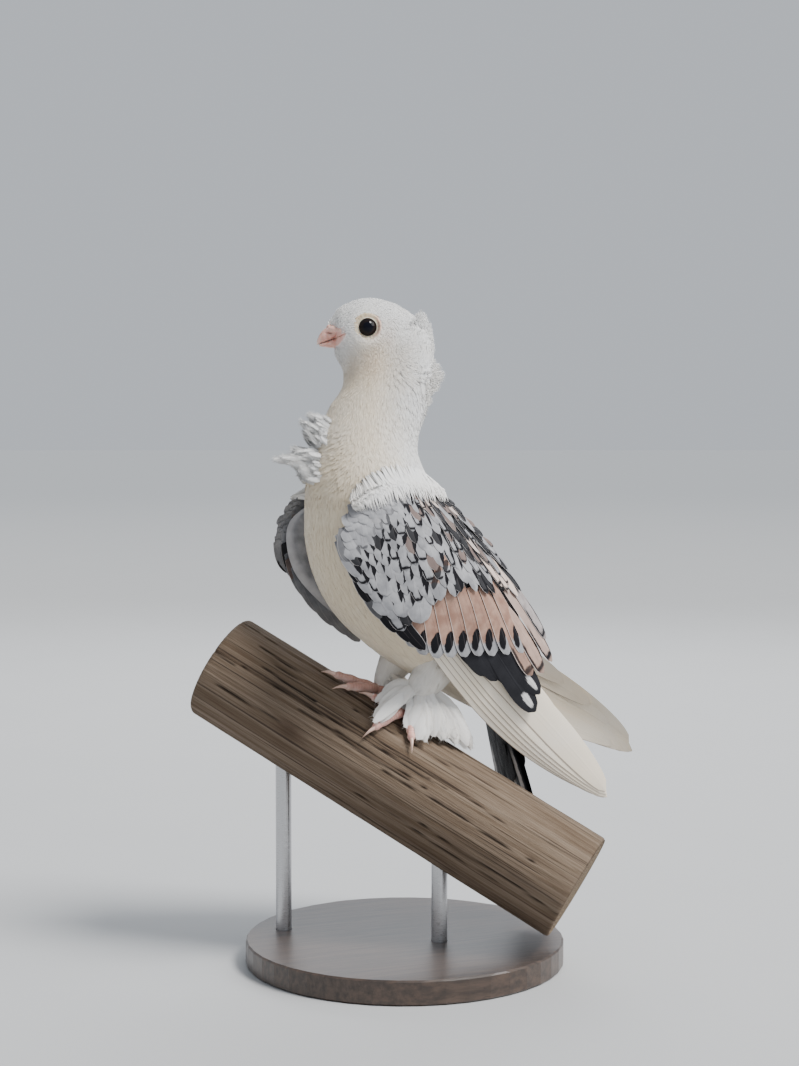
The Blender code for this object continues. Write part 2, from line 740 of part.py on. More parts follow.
def tube(name, path, radii, group, sides=8):
    """A round limb along a path, with its own radius at each point."""
    rings = []
    last = len(path) - 1
    for i, (point, radius) in enumerate(zip(path, radii)):
        ahead = (Vector(path[min(i + 1, last)]) - Vector(path[max(i - 1, 0)])).normalized()
        helper = Vector((0.0, 1.0, 0.0)) if abs(ahead.y) < 0.8 else Vector((1.0, 0.0, 0.0))
        across = ahead.cross(helper).normalized()
        other = ahead.cross(across).normalized()
        ring = []
        for k in range(sides):
            angle = 2.0 * math.pi * k / sides
            ring.append(Vector(point) + (across * math.cos(angle) + other * math.sin(angle)) * radius)
        rings.append(ring)
    return loft(name, rings, group)


def pole_frame():
    """The pole's axis direction, its upward and its near side directions."""
    flat = Vector((math.cos(POLE_PLAN), math.sin(POLE_PLAN), 0.0))
    along = flat * math.cos(POLE_SLOPE) - Vector((0.0, 0.0, math.sin(POLE_SLOPE)))
    near = Vector((math.sin(POLE_PLAN), -math.cos(POLE_PLAN), 0.0))
    over = flat * math.sin(POLE_SLOPE) + Vector((0.0, 0.0, math.cos(POLE_SLOPE)))
    return along, over, near


def on_pole(distance, angle, height):
    """A point above the pole's surface; angle in degrees from its ridge."""
    along, over, near = pole_frame()
    ridge = Vector((0.0, -6.0, 0.0))
    axis = ridge - over * POLE_RADIUS + along * distance
    a = math.radians(angle)
    return axis + (over * math.cos(a) + near * math.sin(a)) * (POLE_RADIUS + height)


def toe_path(ball, end, steps):
    """Points from the ball of the foot to a toe's end, round the pole."""
    path = []
    for i in range(steps + 1):
        share = i / steps
        height = TOE_RADIUS + GAP + 0.3 + 1.6 * (1.0 - share) ** 2
        path.append(on_pole(ball[0] + (end[0] - ball[0]) * share,
                            ball[1] + (end[1] - ball[1]) * share, height))
    return path


def foot(side_name, layout, ankle, group):
    """Four toes joined at the ball of the foot, and a claw for each."""
    ball = layout[:2]
    centre = on_pole(ball[0], ball[1], 4.4)
    body = ellipsoid("foot_" + side_name, group, centre, (4.2, 4.0, 3.6))
    pieces = []
    claws = []
    for number, end in enumerate(layout[2]):
        path = toe_path(ball, end, 6)
        radii = [TOE_RADIUS * (1.15 - 0.04 * i + 0.10 * math.cos(math.pi * i)) for i in range(7)]
        radii[-1] = TOE_RADIUS * 0.55
        pieces.append(tube("toe", path, radii, group))
        claws.append(claw("claw_%s_%d" % (side_name, number + 1), ball, end, group))
    shank = [centre + (Vector(ankle) - centre) * f for f in (0.0, 0.5, 1.0)]
    pieces.append(tube("shank", shank, (3.2, 2.9, 3.0), group))
    combine(body, pieces, "UNION")
    return body, claws


def claw(name, ball, end, group):
    """A curved tapering claw that follows the pole past the toe's end."""
    step = Vector((end[0] - ball[0], (end[1] - ball[1]) * math.radians(POLE_RADIUS), 0.0))
    reach = step.length
    path = []
    radii = []
    for i in range(5):
        share = i / 4
        beyond = (GAP + 0.1 + CLAW_LENGTH * share) / reach
        height = TOE_RADIUS + 0.5 + 1.2 * math.sin(math.pi * share * 0.8) - 1.9 * share
        path.append(on_pole(end[0] + (end[0] - ball[0]) * beyond,
                            end[1] + (end[1] - ball[1]) * beyond, height))
        radii.append(CLAW_RADIUS * (1.0 - 0.86 * share))
    return tube(name, path, radii, group, 6)


def tail(group, trunk_cutter):
    """Tail feathers in a closed stack, the middle pair uppermost."""
    along = Vector((math.cos(TAIL_DIP), 0.0, -math.sin(TAIL_DIP)))
    above = Vector((math.sin(TAIL_DIP), 0.0, math.cos(TAIL_DIP)))
    across = Vector((0.0, 1.0, 0.0))
    root = Vector(TAIL_ROOT)
    rings = []
    for share, wide, deep in ((0.0, 9.0, 7.0), (12.0, 11.0, 6.5), (24.0, 11.0, 5.4), (32.0, 9.0, 4.2)):
        ring = []
        for k in range(16):
            angle = 2.0 * math.pi * k / 16
            ring.append(root + along * share + across * (wide * math.cos(angle)) + above * (deep * math.sin(angle)))
        rings.append(ring)
    body = loft("tail", rings, group)
    pieces = []
    middle = (TAIL_FEATHERS - 1) / 2.0
    for k in range(TAIL_FEATHERS):
        pair = k // 2
        side = 1.0 if k % 2 else -1.0
        fan = side * TAIL_HALF_FAN * (pair + 0.35) / (TAIL_FEATHERS / 2 - 0.65)
        depth = (middle - k) * VANE_STEP
        path = []
        widths = []
        for i in range(TAIL_STEPS):
            share = (i / (TAIL_STEPS - 1.0)) ** 0.7
            reach = 14.0 + (TAIL_LENGTH - 14.0 - 0.9 * pair) * share
            path.append(root + along * reach + across * (fan * (0.3 + 0.7 * share)) + above * depth)
            wide = TAIL_VANE_HALF * outline(share, 0.5, 0.2, 0.72)
            widths.append((wide, wide))
        pieces.append(vane("rectrix", group, path, [across] * TAIL_STEPS, [above] * TAIL_STEPS, widths))
    for face, reach, count in ((1.0, 46.0, 3), (-1.0, 52.0, 3)):
        for k in range(count):
            fan = (k - 0.5 * (count - 1)) * 4.5
            level = face * (middle * VANE_STEP + 1.3 + 0.5 * (k % 2))
            start = root + along * 10.0 + across * (fan * 0.6) + above * (level * 0.7)
            stop = root + along * reach + across * (fan * 1.3) + above * level
            half_way = (start + stop) * 0.5 + above * (face * 1.2)
            pieces.append(lock(group, start, half_way, stop, 4.6, across))
    combine(body, pieces, "UNION")
    combine(body, [trunk_cutter], "DIFFERENCE")
    return body


def lock(group, root, bend, tip, half, side, thick=0.55):
    """A flat tapered tuft along a bent path from its sunk root to its tip."""
    root, bend, tip = Vector(root), Vector(bend), Vector(tip)
    path = []
    sides = []
    normals = []
    upper = []
    lower = []
    for share, wide in LOCK_SHAPE:
        point = root * (1.0 - share) ** 2 + bend * (2.0 * share * (1.0 - share)) + tip * share ** 2
        ahead = ((bend - root) * (1.0 - share) + (tip - bend) * share).normalized()
        normal = side.cross(ahead).normalized()
        across = ahead.cross(normal).normalized()
        depth = thick * 0.5 * (0.6 if share == 1.0 else 1.0)
        reach = across * (half * wide)
        upper.append([point - reach + normal * depth, point + reach + normal * depth])
        lower.append([point - reach - normal * depth, point + reach - normal * depth])
    return plate("lock", upper, lower, group)


def trunk_lock(group, place, angle, aim, fan, length, half, curl=0.3):
    """A tuft on the trunk. aim turns it from straight out (0) to up the neck (90)."""
    point, normal, down = trunk_frame(place, angle)
    around = normal.cross(down).normalized()
    heading = normal * math.cos(math.radians(aim)) - down * math.sin(math.radians(aim))
    heading = (heading + around * math.sin(math.radians(fan))).normalized()
    root = point - normal * LOCK_SINK - heading * 1.0
    bend = point + heading * (length * 0.5) + normal * (curl * length * 0.3)
    tip = point + heading * length
    side = heading.cross(normal)
    if side.length < 0.2:
        side = around
    return lock(group, root, bend, tip, half, side.normalized())


def crest(group):
    """The peak at the back of the head."""
    pieces = []
    for place, aim, length, spread in ((8.2, 66.0, 12.5, 1), (8.6, 54.0, 14.0, 2)):
        for k in range(-spread, spread + 1):
            pieces.append(trunk_lock(group, place, 0.34 * k, aim - 5.0 * abs(k), -14.0 * k,
                                     length - 1.6 * abs(k), 3.2))
    return pieces


def mane(group):
    """The mane down the back of the neck, swept up above and down below."""
    pieces = []
    for place, aim, length in ((9.75, 30.0, 10.5), (10.3, 14.0, 11.0), (10.85, -6.0, 12.0),
                               (11.6, -36.0, 10.0), (12.5, -58.0, 9.5)):
        for k in range(-1, 2):
            pieces.append(trunk_lock(group, place, 0.40 * k, aim, -14.0 * k, length - 1.6 * abs(k), 3.4))
    return pieces


def frill(group):
    """The chest frill: turned feathers down the front, with a long tuft below."""
    pieces = []
    for place, aim, length in ((12.5, 52.0, 9.0), (13.1, 34.0, 11.0), (13.7, 10.0, 9.0)):
        for k in range(-1, 2):
            pieces.append(trunk_lock(group, place, math.pi + 0.3 * k, aim, 18.0 * k,
                                     length - 2.0 * abs(k), 3.2))
    for place, aim, length in ((14.2, -2.0, 18.0), (14.55, -16.0, 19.5), (15.0, -28.0, 12.0)):
        for k in range(-1, 2):
            pieces.append(trunk_lock(group, place, math.pi + 0.16 * k, aim, 12.0 * k,
                                     length - 3.0 * abs(k), 2.6))
    return pieces


def muff(group, ankle, tips, half=3.6):
    """Long feathers from the shank, lying over the foot."""
    pieces = []
    along, over, near = pole_frame()
    for distance, angle, height in tips:
        tip = on_pole(distance, angle, height)
        root = Vector(ankle) + Vector((0.5, 0.0, 2.0))
        bend = (root + tip) * 0.5 + over * 5.0
        side = (tip - root).cross(over).normalized()
        pieces.append(lock(group, root, bend, tip, half, side))
    return pieces


def leg(name, rows, group, cutters, tips):
    """A feathered thigh and shank, down to the ankle."""
    path = [Vector(row[:3]) for row in rows]
    body = tube(name, path, [row[3] for row in rows], group, 12)
    combine(body, muff(group, rows[-2][:3], tips), "UNION")
    combine(body, cutters, "DIFFERENCE")
    return body


def pole(group):
    """The cut length of pole."""
    rings = []
    for i in range(POLE_RINGS):
        distance = POLE_REACH[0] + (POLE_REACH[1] - POLE_REACH[0]) * i / (POLE_RINGS - 1)
        rings.append([on_pole(distance, 360.0 * k / POLE_SIDES, 0.0) for k in range(POLE_SIDES)])
    return loft("stand_perch", rings, group)


def cylinder(name, group, centre, radius, low, high, sides=32):
    """An upright cylinder."""
    matrix = Matrix.Translation((centre[0], centre[1], 0.5 * (low + high)))

    def build(work):
        bmesh.ops.create_cone(work, cap_ends=True, segments=sides, radius1=radius, radius2=radius,
                              depth=high - low)

    return primitive(name, group, build, matrix)


def stand(group):
    """Pole, base plate and two rods that enter the pole from below."""
    perch = pole(group)
    low = BASE_TOP_Z - BASE_THICK
    base = cylinder("stand_base", group, BASE_CENTRE, BASE_RADIUS, low, BASE_TOP_Z, BASE_SIDES)
    edge = base.modifiers.new("edge", "BEVEL")
    edge.width = BASE_EDGE * MM
    edge.segments = 1
    edge.limit_method = "ANGLE"
    base.data = evaluated_mesh(base)
    base.modifiers.clear()
    rods = []
    holes = []
    sockets = []
    for place, name in zip(ROD_STATIONS, ("stand_rod_front", "stand_rod_rear")):
        under = on_pole(place, 180.0, 0.0)
        top = under.z + ROD_SINK
        bottom = BASE_TOP_Z - ROD_BASE_SINK
        rods.append(cylinder(name, group, under[:2], ROD_RADIUS, bottom, top, 24))
        holes.append(cylinder("hole", group, under[:2], ROD_RADIUS + GAP, bottom, top + GAP, 24))
        sockets.append(cylinder("socket", group, under[:2], ROD_RADIUS + GAP, bottom - GAP, top, 24))
    combine(perch, holes, "DIFFERENCE")
    combine(base, sockets, "DIFFERENCE")
    return perch, rods, base


def finish(items, made):
    """Give each object its material and move it to the stand's frame."""
    shift = Vector((-BASE_CENTRE[0], -BASE_CENTRE[1], BASE_THICK - BASE_TOP_Z)) * MM
    for item in items:
        item.data.materials.clear()
        item.data.materials.append(made[item.name])
        item.data.transform(Matrix.Translation(shift))
        item.data.shade_smooth()
        item.data.set_sharp_from_angle(angle=math.radians(40.0))


def build():
    """Model the bird and its stand."""
    clear_scene()
    random.seed(SEED)
    group = new_collection("satinette_pigeon")
    helpers = new_collection("cutters")
    head, upper, lower, eyes = head_and_bill(group)
    neck = trunk_part("neck", HEAD_NECK_CUT, NECK_TORSO_CUT, 12, group)
    combine(neck, mane(group) + frill(group), "UNION")
    torso = trunk_part("torso", NECK_TORSO_CUT, len(TRUNK) - 1.0, 16, group)
    perch, rods, base = stand(group)
    places = np.linspace(11.0, len(TRUNK) - 1.0, CUTTER_RINGS)
    whole = loft("trunk", [trunk_ring(p, 0.0, CUTTER_SIDES) for p in places], helpers)
    cutters = [grown(whole, CUTTER_GROWTH, helpers) for _ in range(5)]
    bpy.data.objects.remove(whole, do_unlink=True)
    wings = [wing(-1.0, group, cutters[0]), wing(1.0, group, cutters[1])]
    back = tail(group, cutters[2])
    feet = []
    claws = []
    for side_name, layout, rows in (("left", FOOT_LEFT, LEG_LEFT), ("right", FOOT_RIGHT, LEG_RIGHT)):
        ankle = Vector(rows[-1][:3])
        made, nails = foot(side_name, layout, ankle, group)
        feet.append(made)
        claws += nails
    legs = []
    for name, rows, cutter, tips in (("leg_left", LEG_LEFT, cutters[3], MUFF_LEFT),
                                     ("leg_right", LEG_RIGHT, cutters[4], MUFF_RIGHT)):
        clear = [grown(own, GAP, helpers) for own in feet + [perch] + wings + legs]
        legs.append(leg(name, rows, group, [cutter] + clear, tips))
    feathered = material("white feather", WHITE, 0.75)
    made = {"head": feathered, "neck": feathered, "torso": material("cream feather", CREAM, 0.8)}
    made.update({"leg_left": feathered, "leg_right": feathered})
    ash = material("ash feather", ASH, 0.7)
    made.update({"wing_left": ash, "wing_right": ash, "tail": material("black feather", CHARCOAL, 0.6)})
    flesh = material("bill and toe skin", FLESH, 0.5)
    made.update({"bill_upper": flesh, "bill_lower": flesh, "foot_left": flesh, "foot_right": flesh})
    dark = material("eye", EYE_DARK, 0.08)
    made.update({"eye_left": dark, "eye_right": dark})
    horn = material("claw horn", HORN, 0.45)
    made.update({item.name: horn for item in claws})
    steel = material("rod steel", STEEL, 0.35, 1.0)
    made.update({item.name: steel for item in rods})
    made.update({"stand_perch": material("weathered wood", WOOD, 0.85)})
    made.update({"stand_base": material("base plate", PLATE, 0.5)})
    items = [head, neck, torso, upper, lower, back, perch, base]
    items += eyes + wings + legs + feet + claws + rods
    finish(items, made)
    for item in list(helpers.objects):
        bpy.data.objects.remove(item, do_unlink=True)
    bpy.data.collections.remove(helpers)


build()
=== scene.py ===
"""The satinette pigeon's looks: skin, plumage, bill, eyes, feet, pole and stand.

Lengths are millimetres in the bird's own frame, X towards the tail and the left
side at -Y, and are moved to the stand's frame when a mesh is made.
"""
import math

import bmesh
import bpy
import numpy as np
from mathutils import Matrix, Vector, noise
from mathutils.bvhtree import BVHTree
from mathutils.kdtree import KDTree


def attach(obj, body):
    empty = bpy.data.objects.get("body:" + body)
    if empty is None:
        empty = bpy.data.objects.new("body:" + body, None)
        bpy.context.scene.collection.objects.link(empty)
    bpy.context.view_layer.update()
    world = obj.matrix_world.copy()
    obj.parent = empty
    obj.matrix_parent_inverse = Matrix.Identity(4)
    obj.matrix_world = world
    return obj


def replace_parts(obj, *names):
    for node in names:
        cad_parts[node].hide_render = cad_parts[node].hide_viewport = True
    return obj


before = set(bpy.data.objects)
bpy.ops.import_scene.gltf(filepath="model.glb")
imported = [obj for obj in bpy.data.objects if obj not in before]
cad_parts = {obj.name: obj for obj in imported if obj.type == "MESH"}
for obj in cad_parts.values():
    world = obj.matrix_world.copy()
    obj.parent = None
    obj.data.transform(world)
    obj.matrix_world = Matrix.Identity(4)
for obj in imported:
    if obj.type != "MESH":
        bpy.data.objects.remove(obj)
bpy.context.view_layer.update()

MM = 0.001
SHIFT = np.array((-2.0, 2.0, 124.0))
SIDES = ((-1.0, "left"), (1.0, "right"))
UP = np.array((0.0, 0.0, 1.0))
RIGHT = np.array((0.0, 1.0, 0.0))

# Trunk stations: back line (u, z), front line (u, z), half width, turn in degrees
NECK_AXIS_X = -10.0
TRUNK = np.array((
    (-26.4, 196.4, -23.4, 185.6, 1.8, 17.0),
    (-24.5, 198.0, -21.5, 183.0, 3.2, 17.0),
    (-20.9, 202.7, -22.5, 180.9, 7.4, 17.0),
    (-15.6, 205.7, -21.8, 178.5, 9.6, 17.0),
    (-10.2, 207.5, -20.6, 176.4, 10.9, 17.0),
    (-3.8, 207.9, -19.4, 174.2, 11.6, 17.0),
    (3.0, 206.5, -18.6, 172.0, 12.0, 17.0),
    (9.0, 204.2, -18.4, 169.6, 12.3, 17.0),
    (13.8, 200.0, -18.4, 167.0, 12.6, 17.0),
    (16.8, 194.0, -19.0, 164.0, 13.2, 16.5),
    (18.4, 185.0, -21.0, 160.2, 14.2, 16.0),
    (18.8, 175.4, -24.2, 155.8, 15.6, 15.0),
    (18.2, 165.4, -26.8, 151.0, 17.3, 13.0),
    (17.2, 155.4, -29.4, 145.6, 19.3, 11.0),
    (16.4, 145.6, -32.0, 138.2, 21.8, 8.0),
    (16.8, 136.4, -34.4, 129.2, 25.0, 5.0),
    (18.8, 127.9, -36.4, 120.4, 28.4, 2.0),
    (22.3, 120.2, -37.4, 111.4, 31.4, 0.0),
    (27.7, 112.8, -37.8, 101.0, 33.8, 0.0),
    (34.0, 105.0, -37.6, 89.0, 35.4, 0.0),
    (40.5, 96.0, -35.2, 76.6, 36.0, 0.0),
    (47.0, 85.0, -31.0, 65.0, 35.6, 0.0),
    (53.5, 72.5, -25.0, 54.6, 34.2, 0.0),
    (59.5, 59.5, -17.4, 45.4, 31.8, 0.0),
    (65.0, 47.0, -8.2, 37.4, 28.6, 0.0),
    (69.5, 35.0, 2.6, 29.0, 24.6, 0.0),
    (72.5, 24.5, 15.0, 21.4, 20.0, 0.0),
    (73.5, 15.0, 28.5, 13.6, 15.6, 0.0),
    (72.0, 8.0, 41.5, 6.0, 12.0, 0.0),
    (69.0, 3.0, 52.5, 0.5, 9.0, 0.0),
))
# Place 0 is the second station; the one before it rounds the forehead
FIRST_STATION = -1.0
LAST_STATION = len(TRUNK) - 2
FRONT_FULLNESS = 0.05
HEAD_TURN = 17.0

# The nape's feathers stand off the trunk by this much
NAPE_PLACE = (6.2, 7.0, 7.7, 8.3, 9.2, 10.3, 11.0, 11.8, 12.8, 13.7, 14.6)
NAPE_RISE = (0.0, 1.0, 2.8, 6.0, 7.0, 7.4, 7.0, 5.6, 3.8, 1.4, 0.0)

BILL_UPPER = (
    (-17.0, 195.3, 189.7, 4.6),
    (-21.0, 194.9, 188.9, 4.5),
    (-24.0, 194.3, 187.7, 4.1),
    (-27.0, 193.4, 186.6, 3.3),
    (-29.2, 191.6, 185.9, 2.5),
    (-30.8, 189.2, 185.3, 1.7),
    (-31.7, 186.9, 184.9, 0.9),
)
BILL_LOWER = (
    (-17.0, 189.4, 182.9, 4.3),
    (-21.0, 188.6, 183.1, 4.1),
    (-24.0, 187.4, 183.3, 3.5),
    (-27.0, 186.3, 183.7, 2.6),
    (-29.2, 185.6, 184.0, 1.7),
    (-30.6, 185.0, 184.2, 0.9),
)
MOUTH_BACK = (-31.7, -27.0, -24.0, -21.0, -18.4)
MOUTH_HEIGHT = (184.9, 186.2, 187.6, 188.6, 189.8)
EYE_PLACE = (-7.2, 193.2)
EYE_DEPTH = 7.0
EYE_RADIUS = 5.3

WRIST = (-43.0, 97.0)
WING_DIP = math.radians(43.0)
WING_HEIGHT_S = (-12.0, 15.0, 45.0, 75.0, 105.0, 135.0, 165.0, 195.0, 220.0)
WING_HEIGHT = (40.5, 43.5, 44.0, 41.5, 35.5, 28.0, 21.0, 15.5, 12.5)
WING_CURL = 0.0155
WING_TUCK = 0.012
SHIELD_LOWER = np.array(((0.5, 14.0), (-1.0, 2.0), (10.0, -9.0), (26.0, -16.0), (50.0, -18.5), (72.0, -16.0)))
SHIELD_UPPER = np.array(((14.0, 41.0), (25.0, 47.0), (40.0, 51.0), (62.0, 51.0), (86.0, 46.0), (104.0, 39.0)))
SHIELD_FULLER_RIGHT = 7.5
RAISED_RIGHT = (math.radians(7.6), math.radians(2.5), math.radians(1.2))

TAIL_ROOT = np.array((50.5, 0.0, 12.0))
TAIL_DIP = math.radians(74.0)
TAIL_LENGTH = 112.0

LEG_LEFT = ((17.0, -14.0, 30.0, 11.0), (11.0, -12.0, 20.0, 9.0), (5.0, -9.0, 12.0, 6.2), (1.5, -7.0, 6.0, 4.2))
LEG_RIGHT = ((9.0, 13.0, 34.0, 11.0), (2.0, 10.5, 25.0, 8.5), (-4.0, 8.0, 17.5, 6.0), (-6.5, 6.5, 12.5, 4.2))
TOE_RADIUS = 2.3
FOOT_LEFT = (0.5, 3.0, ((-18.0, 13.0), (-6.5, 47.0), (12.0, 36.0), (6.0, -38.0)))
FOOT_RIGHT = (-17.5, -8.0, ((-31.0, 22.0), (-40.0, 14.0), (-29.0, -42.0), (-9.0, -40.0)))

POLE_RADIUS = 28.0
POLE_PLAN = math.radians(-38.0)
POLE_SLOPE = math.radians(29.0)
POLE_REACH = (-96.0, 116.0)

# Parts of the unit square that the unwrap gives to the trunk and to the legs
TRUNK_BAND = (0.14, 0.86)
LEG_BAND = 0.12
TUFT_PATCH = 0.003
BARB_WIDTH = 0.06


def smooth(value, low, high):
    """A smooth step from 0 at low to 1 at high."""
    x = np.clip((np.asarray(value, float) - low) / (high - low), 0.0, 1.0)
    return x * x * (3.0 - 2.0 * x)


def unit(v):
    """Vectors along the last axis, at length one."""
    return v / np.maximum(np.linalg.norm(v, axis=-1, keepdims=True), 1e-9)


def joined(*values):
    """Values side by side along a last axis."""
    return np.stack(np.broadcast_arrays(*values), -1)


def circle(sides):
    """Angles in even steps round a circle."""
    return np.arange(sides) / sides * 2.0 * math.pi


def about(angle, centre=0.0, whole=360.0):
    """Angles from a centre, within half a turn either way."""
    return (angle - centre + 0.5 * whole) % whole - 0.5 * whole


def between(value, start, full, leaving, end):
    """A smooth rise to one and a smooth fall back."""
    return smooth(value, start, full) * (1.0 - smooth(value, leaving, end))


def axes(dp, da):
    """Two directions at right angles on a surface, the first along it."""
    first = unit(dp)
    return first, unit(da - np.sum(da * first, -1, keepdims=True) * first)


def eased(rows, place):
    """Read a table of rows at real indices by a smooth curve."""
    place = np.asarray(place, float)
    last = len(rows) - 1
    i = np.clip(np.floor(place).astype(int), 0, last - 1)
    f = np.clip(place - i, 0.0, 1.0)[..., None]
    a, b = rows[i], rows[i + 1]
    m0 = (b - rows[np.maximum(i - 1, 0)]) * 0.5
    m1 = (rows[np.minimum(i + 2, last)] - a) * 0.5
    f2 = f * f
    f3 = f2 * f
    return (2 * f3 - 3 * f2 + 1) * a + (f3 - 2 * f2 + f) * m0 + (3 * f2 - 2 * f3) * b + (f3 - f2) * m1


def turned(u, v, z, turn):
    """Points of the turned head or neck, u back and v to the right."""
    angle = np.radians(turn)
    x = NECK_AXIS_X + u * np.cos(angle) + v * np.sin(angle)
    y = -u * np.sin(angle) + v * np.cos(angle)
    return joined(x, y, z)


def head_way(u, v, z):
    """A direction of the turned head."""
    return unit(turned(u, v, z, HEAD_TURN) - turned(0.0, 0.0, 0.0, HEAD_TURN))


def trunk_point(place, angle):
    """Points of the trunk; angle 0 is the back line and pi the front line."""
    ub, zb, uf, zf, width, turn = np.moveaxis(eased(TRUNK, place - FIRST_STATION), -1, 0)
    along = 0.5 * np.cos(angle)
    u = 0.5 * (ub + uf) + along * (ub - uf)
    z = 0.5 * (zb + zf) + along * (zb - zf)
    v = width * np.sin(angle) * (1.0 - FRONT_FULLNESS * np.cos(angle))
    return turned(u, v, z, turn)


def frame_of(point, p, a, outward, step):
    """Points, outward normals and both directions of a surface, by differences."""
    here = point(p, a)
    dp = (point(p + step, a) - point(p - step, a)) / (2.0 * step)
    da = (point(p, a + step) - point(p, a - step)) / (2.0 * step)
    normal = unit(np.cross(da, dp))
    sign = np.sign(np.sum(normal * outward(p, a, here), axis=-1, keepdims=True))
    return here, normal * np.where(sign == 0.0, 1.0, sign), dp, da


def trunk(p, a):
    """The trunk as a surface for feathers."""
    p = np.clip(p, FIRST_STATION + 0.03, LAST_STATION - 0.03)

    def outward(place, angle, here):
        return here - 0.5 * (trunk_point(place, 0.0 * angle) + trunk_point(place, 0.0 * angle + math.pi))

    return frame_of(trunk_point, p, a, outward, 0.02)


def from_back(angle):
    """How far angles are from the trunk's back line."""
    return np.abs(about(angle, whole=2.0 * math.pi))


def nape_rise(p, angle):
    """How far the crest and mane stand off the trunk at the nape."""
    return np.interp(p, NAPE_PLACE, NAPE_RISE) * (1.0 - smooth(from_back(angle), 0.25, 1.55))


def plumed(share, lift=0.0):
    """The trunk raised by a share of the nape's feathers."""
    def point(p, a):
        here, normal, _, _ = trunk(p, a)
        return here + normal * (share * nape_rise(p, a) + lift)[..., None]

    def surface(p, a):
        p = np.clip(p, FIRST_STATION + 0.08, LAST_STATION - 0.08)
        return frame_of(point, p, a, lambda q, b, here: here - trunk_point(q, b) + trunk(q, b)[1], 0.03)

    return surface


def limb(rows):
    """A tapering limb as a surface: p along it in rows, a round it."""
    table = np.array(rows, float)

    def point(p, a):
        row = eased(table, p)
        ahead = unit(eased(table, p + 0.1)[..., :3] - eased(table, p - 0.1)[..., :3])
        across = unit(np.cross(ahead, RIGHT))
        other = np.cross(ahead, across)
        return row[..., :3] + (across * np.cos(a)[..., None] + other * np.sin(a)[..., None]) * row[..., 3:4]

    def surface(p, a):
        p = np.clip(p, 0.12, len(table) - 1.12)
        return frame_of(point, p, a, lambda q, b, here: here - eased(table, q)[..., :3], 0.02)

    return surface, point


def wing_height(s, t):
    """How far the folded wing's outer surface stands from the bird's middle."""
    height = np.interp(s, WING_HEIGHT_S, WING_HEIGHT)
    curl = np.maximum(0.0, t - 10.0)
    tuck = np.maximum(0.0, -5.0 - t)
    return height - WING_CURL * curl * curl - WING_TUCK * tuck * tuck


def wing(side, lift=0.0):
    """A folded wing as a surface: s from the wrist to the tip, t up from that line."""
    ds, dt = math.cos(WING_DIP), math.sin(WING_DIP)

    def point(s, t):
        sr = s * math.cos(lift) - t * math.sin(lift)
        tr = s * math.sin(lift) + t * math.cos(lift)
        y = wing_height(sr, tr)
        return joined(WRIST[0] + sr * ds + tr * dt, side * y, WRIST[1] - sr * dt + tr * ds)

    def surface(s, t):
        return frame_of(point, s, t, lambda q, b, here: side * RIGHT + 0.0 * here, 0.5)

    return surface


def wing_coordinates(points):
    """The s and t of points in space."""
    ds, dt = math.cos(WING_DIP), math.sin(WING_DIP)
    x, z = points[..., 0] - WRIST[0], points[..., 2] - WRIST[1]
    return x * ds - z * dt, x * dt + z * ds


def pole_frame():
    """The pole's axis, upward and near side directions."""
    flat = np.array((math.cos(POLE_PLAN), math.sin(POLE_PLAN), 0.0))
    along = flat * math.cos(POLE_SLOPE) - UP * math.sin(POLE_SLOPE)
    near = np.array((math.sin(POLE_PLAN), -math.cos(POLE_PLAN), 0.0))
    over = flat * math.sin(POLE_SLOPE) + UP * math.cos(POLE_SLOPE)
    return along, over, near


def on_pole(distance, angle, height):
    """Points above the pole's surface; angle in degrees from its ridge."""
    along, over, near = pole_frame()
    distance, angle, height = np.broadcast_arrays(
        np.asarray(distance, float), np.asarray(angle, float), np.asarray(height, float))
    a = np.radians(angle)[..., None]
    axis = np.array((0.0, -6.0, 0.0)) - over * POLE_RADIUS + along * distance[..., None]
    return axis + (over * np.cos(a) + near * np.sin(a)) * (POLE_RADIUS + height[..., None])


# Meshes

def in_scene(name, data):
    """A new object in the scene."""
    item = bpy.data.objects.new(name, data)
    bpy.context.scene.collection.objects.link(item)
    return item


def plain_piece(name, mesh, material):
    """An object of a mesh in one material."""
    mesh.materials.append(material)
    return in_scene(name, mesh)


def link(name, mesh, material):
    """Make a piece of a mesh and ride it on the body."""
    item = plain_piece(name, mesh, material)
    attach(item, "root")
    return item


def solid(name, points, faces, uv, vectors, rims=None, slivers=np.zeros((0, 3), int), sliver_uv=np.zeros((0, 2))):
    """A smooth mesh from millimetre points and four-cornered faces, with slim triangles after them."""
    mesh = bpy.data.meshes.new(name)
    mesh.vertices.add(len(points))
    mesh.vertices.foreach_set("co", ((points + SHIFT) * MM).astype(np.float32).ravel())
    corners = np.concatenate((faces.ravel(), slivers.ravel()))
    starts = np.concatenate((np.arange(0, faces.size, 4), faces.size + np.arange(0, slivers.size, 3)))
    mesh.loops.add(len(corners))
    mesh.loops.foreach_set("vertex_index", corners.astype(np.int32))
    mesh.polygons.add(len(starts))
    mesh.polygons.foreach_set("loop_start", starts.astype(np.int32))
    mesh.update(calc_edges=True)
    mesh.shade_smooth()
    if rims is not None:
        ends = np.empty(len(mesh.edges) * 2, np.int32)
        mesh.edges.foreach_get("vertices", ends)
        ends = ends.reshape(-1, 2)
        sharp = mesh.attributes.new("sharp_edge", "BOOLEAN", "EDGE")
        sharp.data.foreach_set("value", rims[ends[:, 0]] & rims[ends[:, 1]])
    layer = mesh.uv_layers.new(name="OFBake")
    layer.data.foreach_set("uv", np.concatenate((uv, sliver_uv)).astype(np.float32).ravel())
    for key, values in vectors.items():
        held = mesh.attributes.new(key, "FLOAT_VECTOR", "POINT")
        held.data.foreach_set("vector", values.astype(np.float32).ravel())
    return mesh


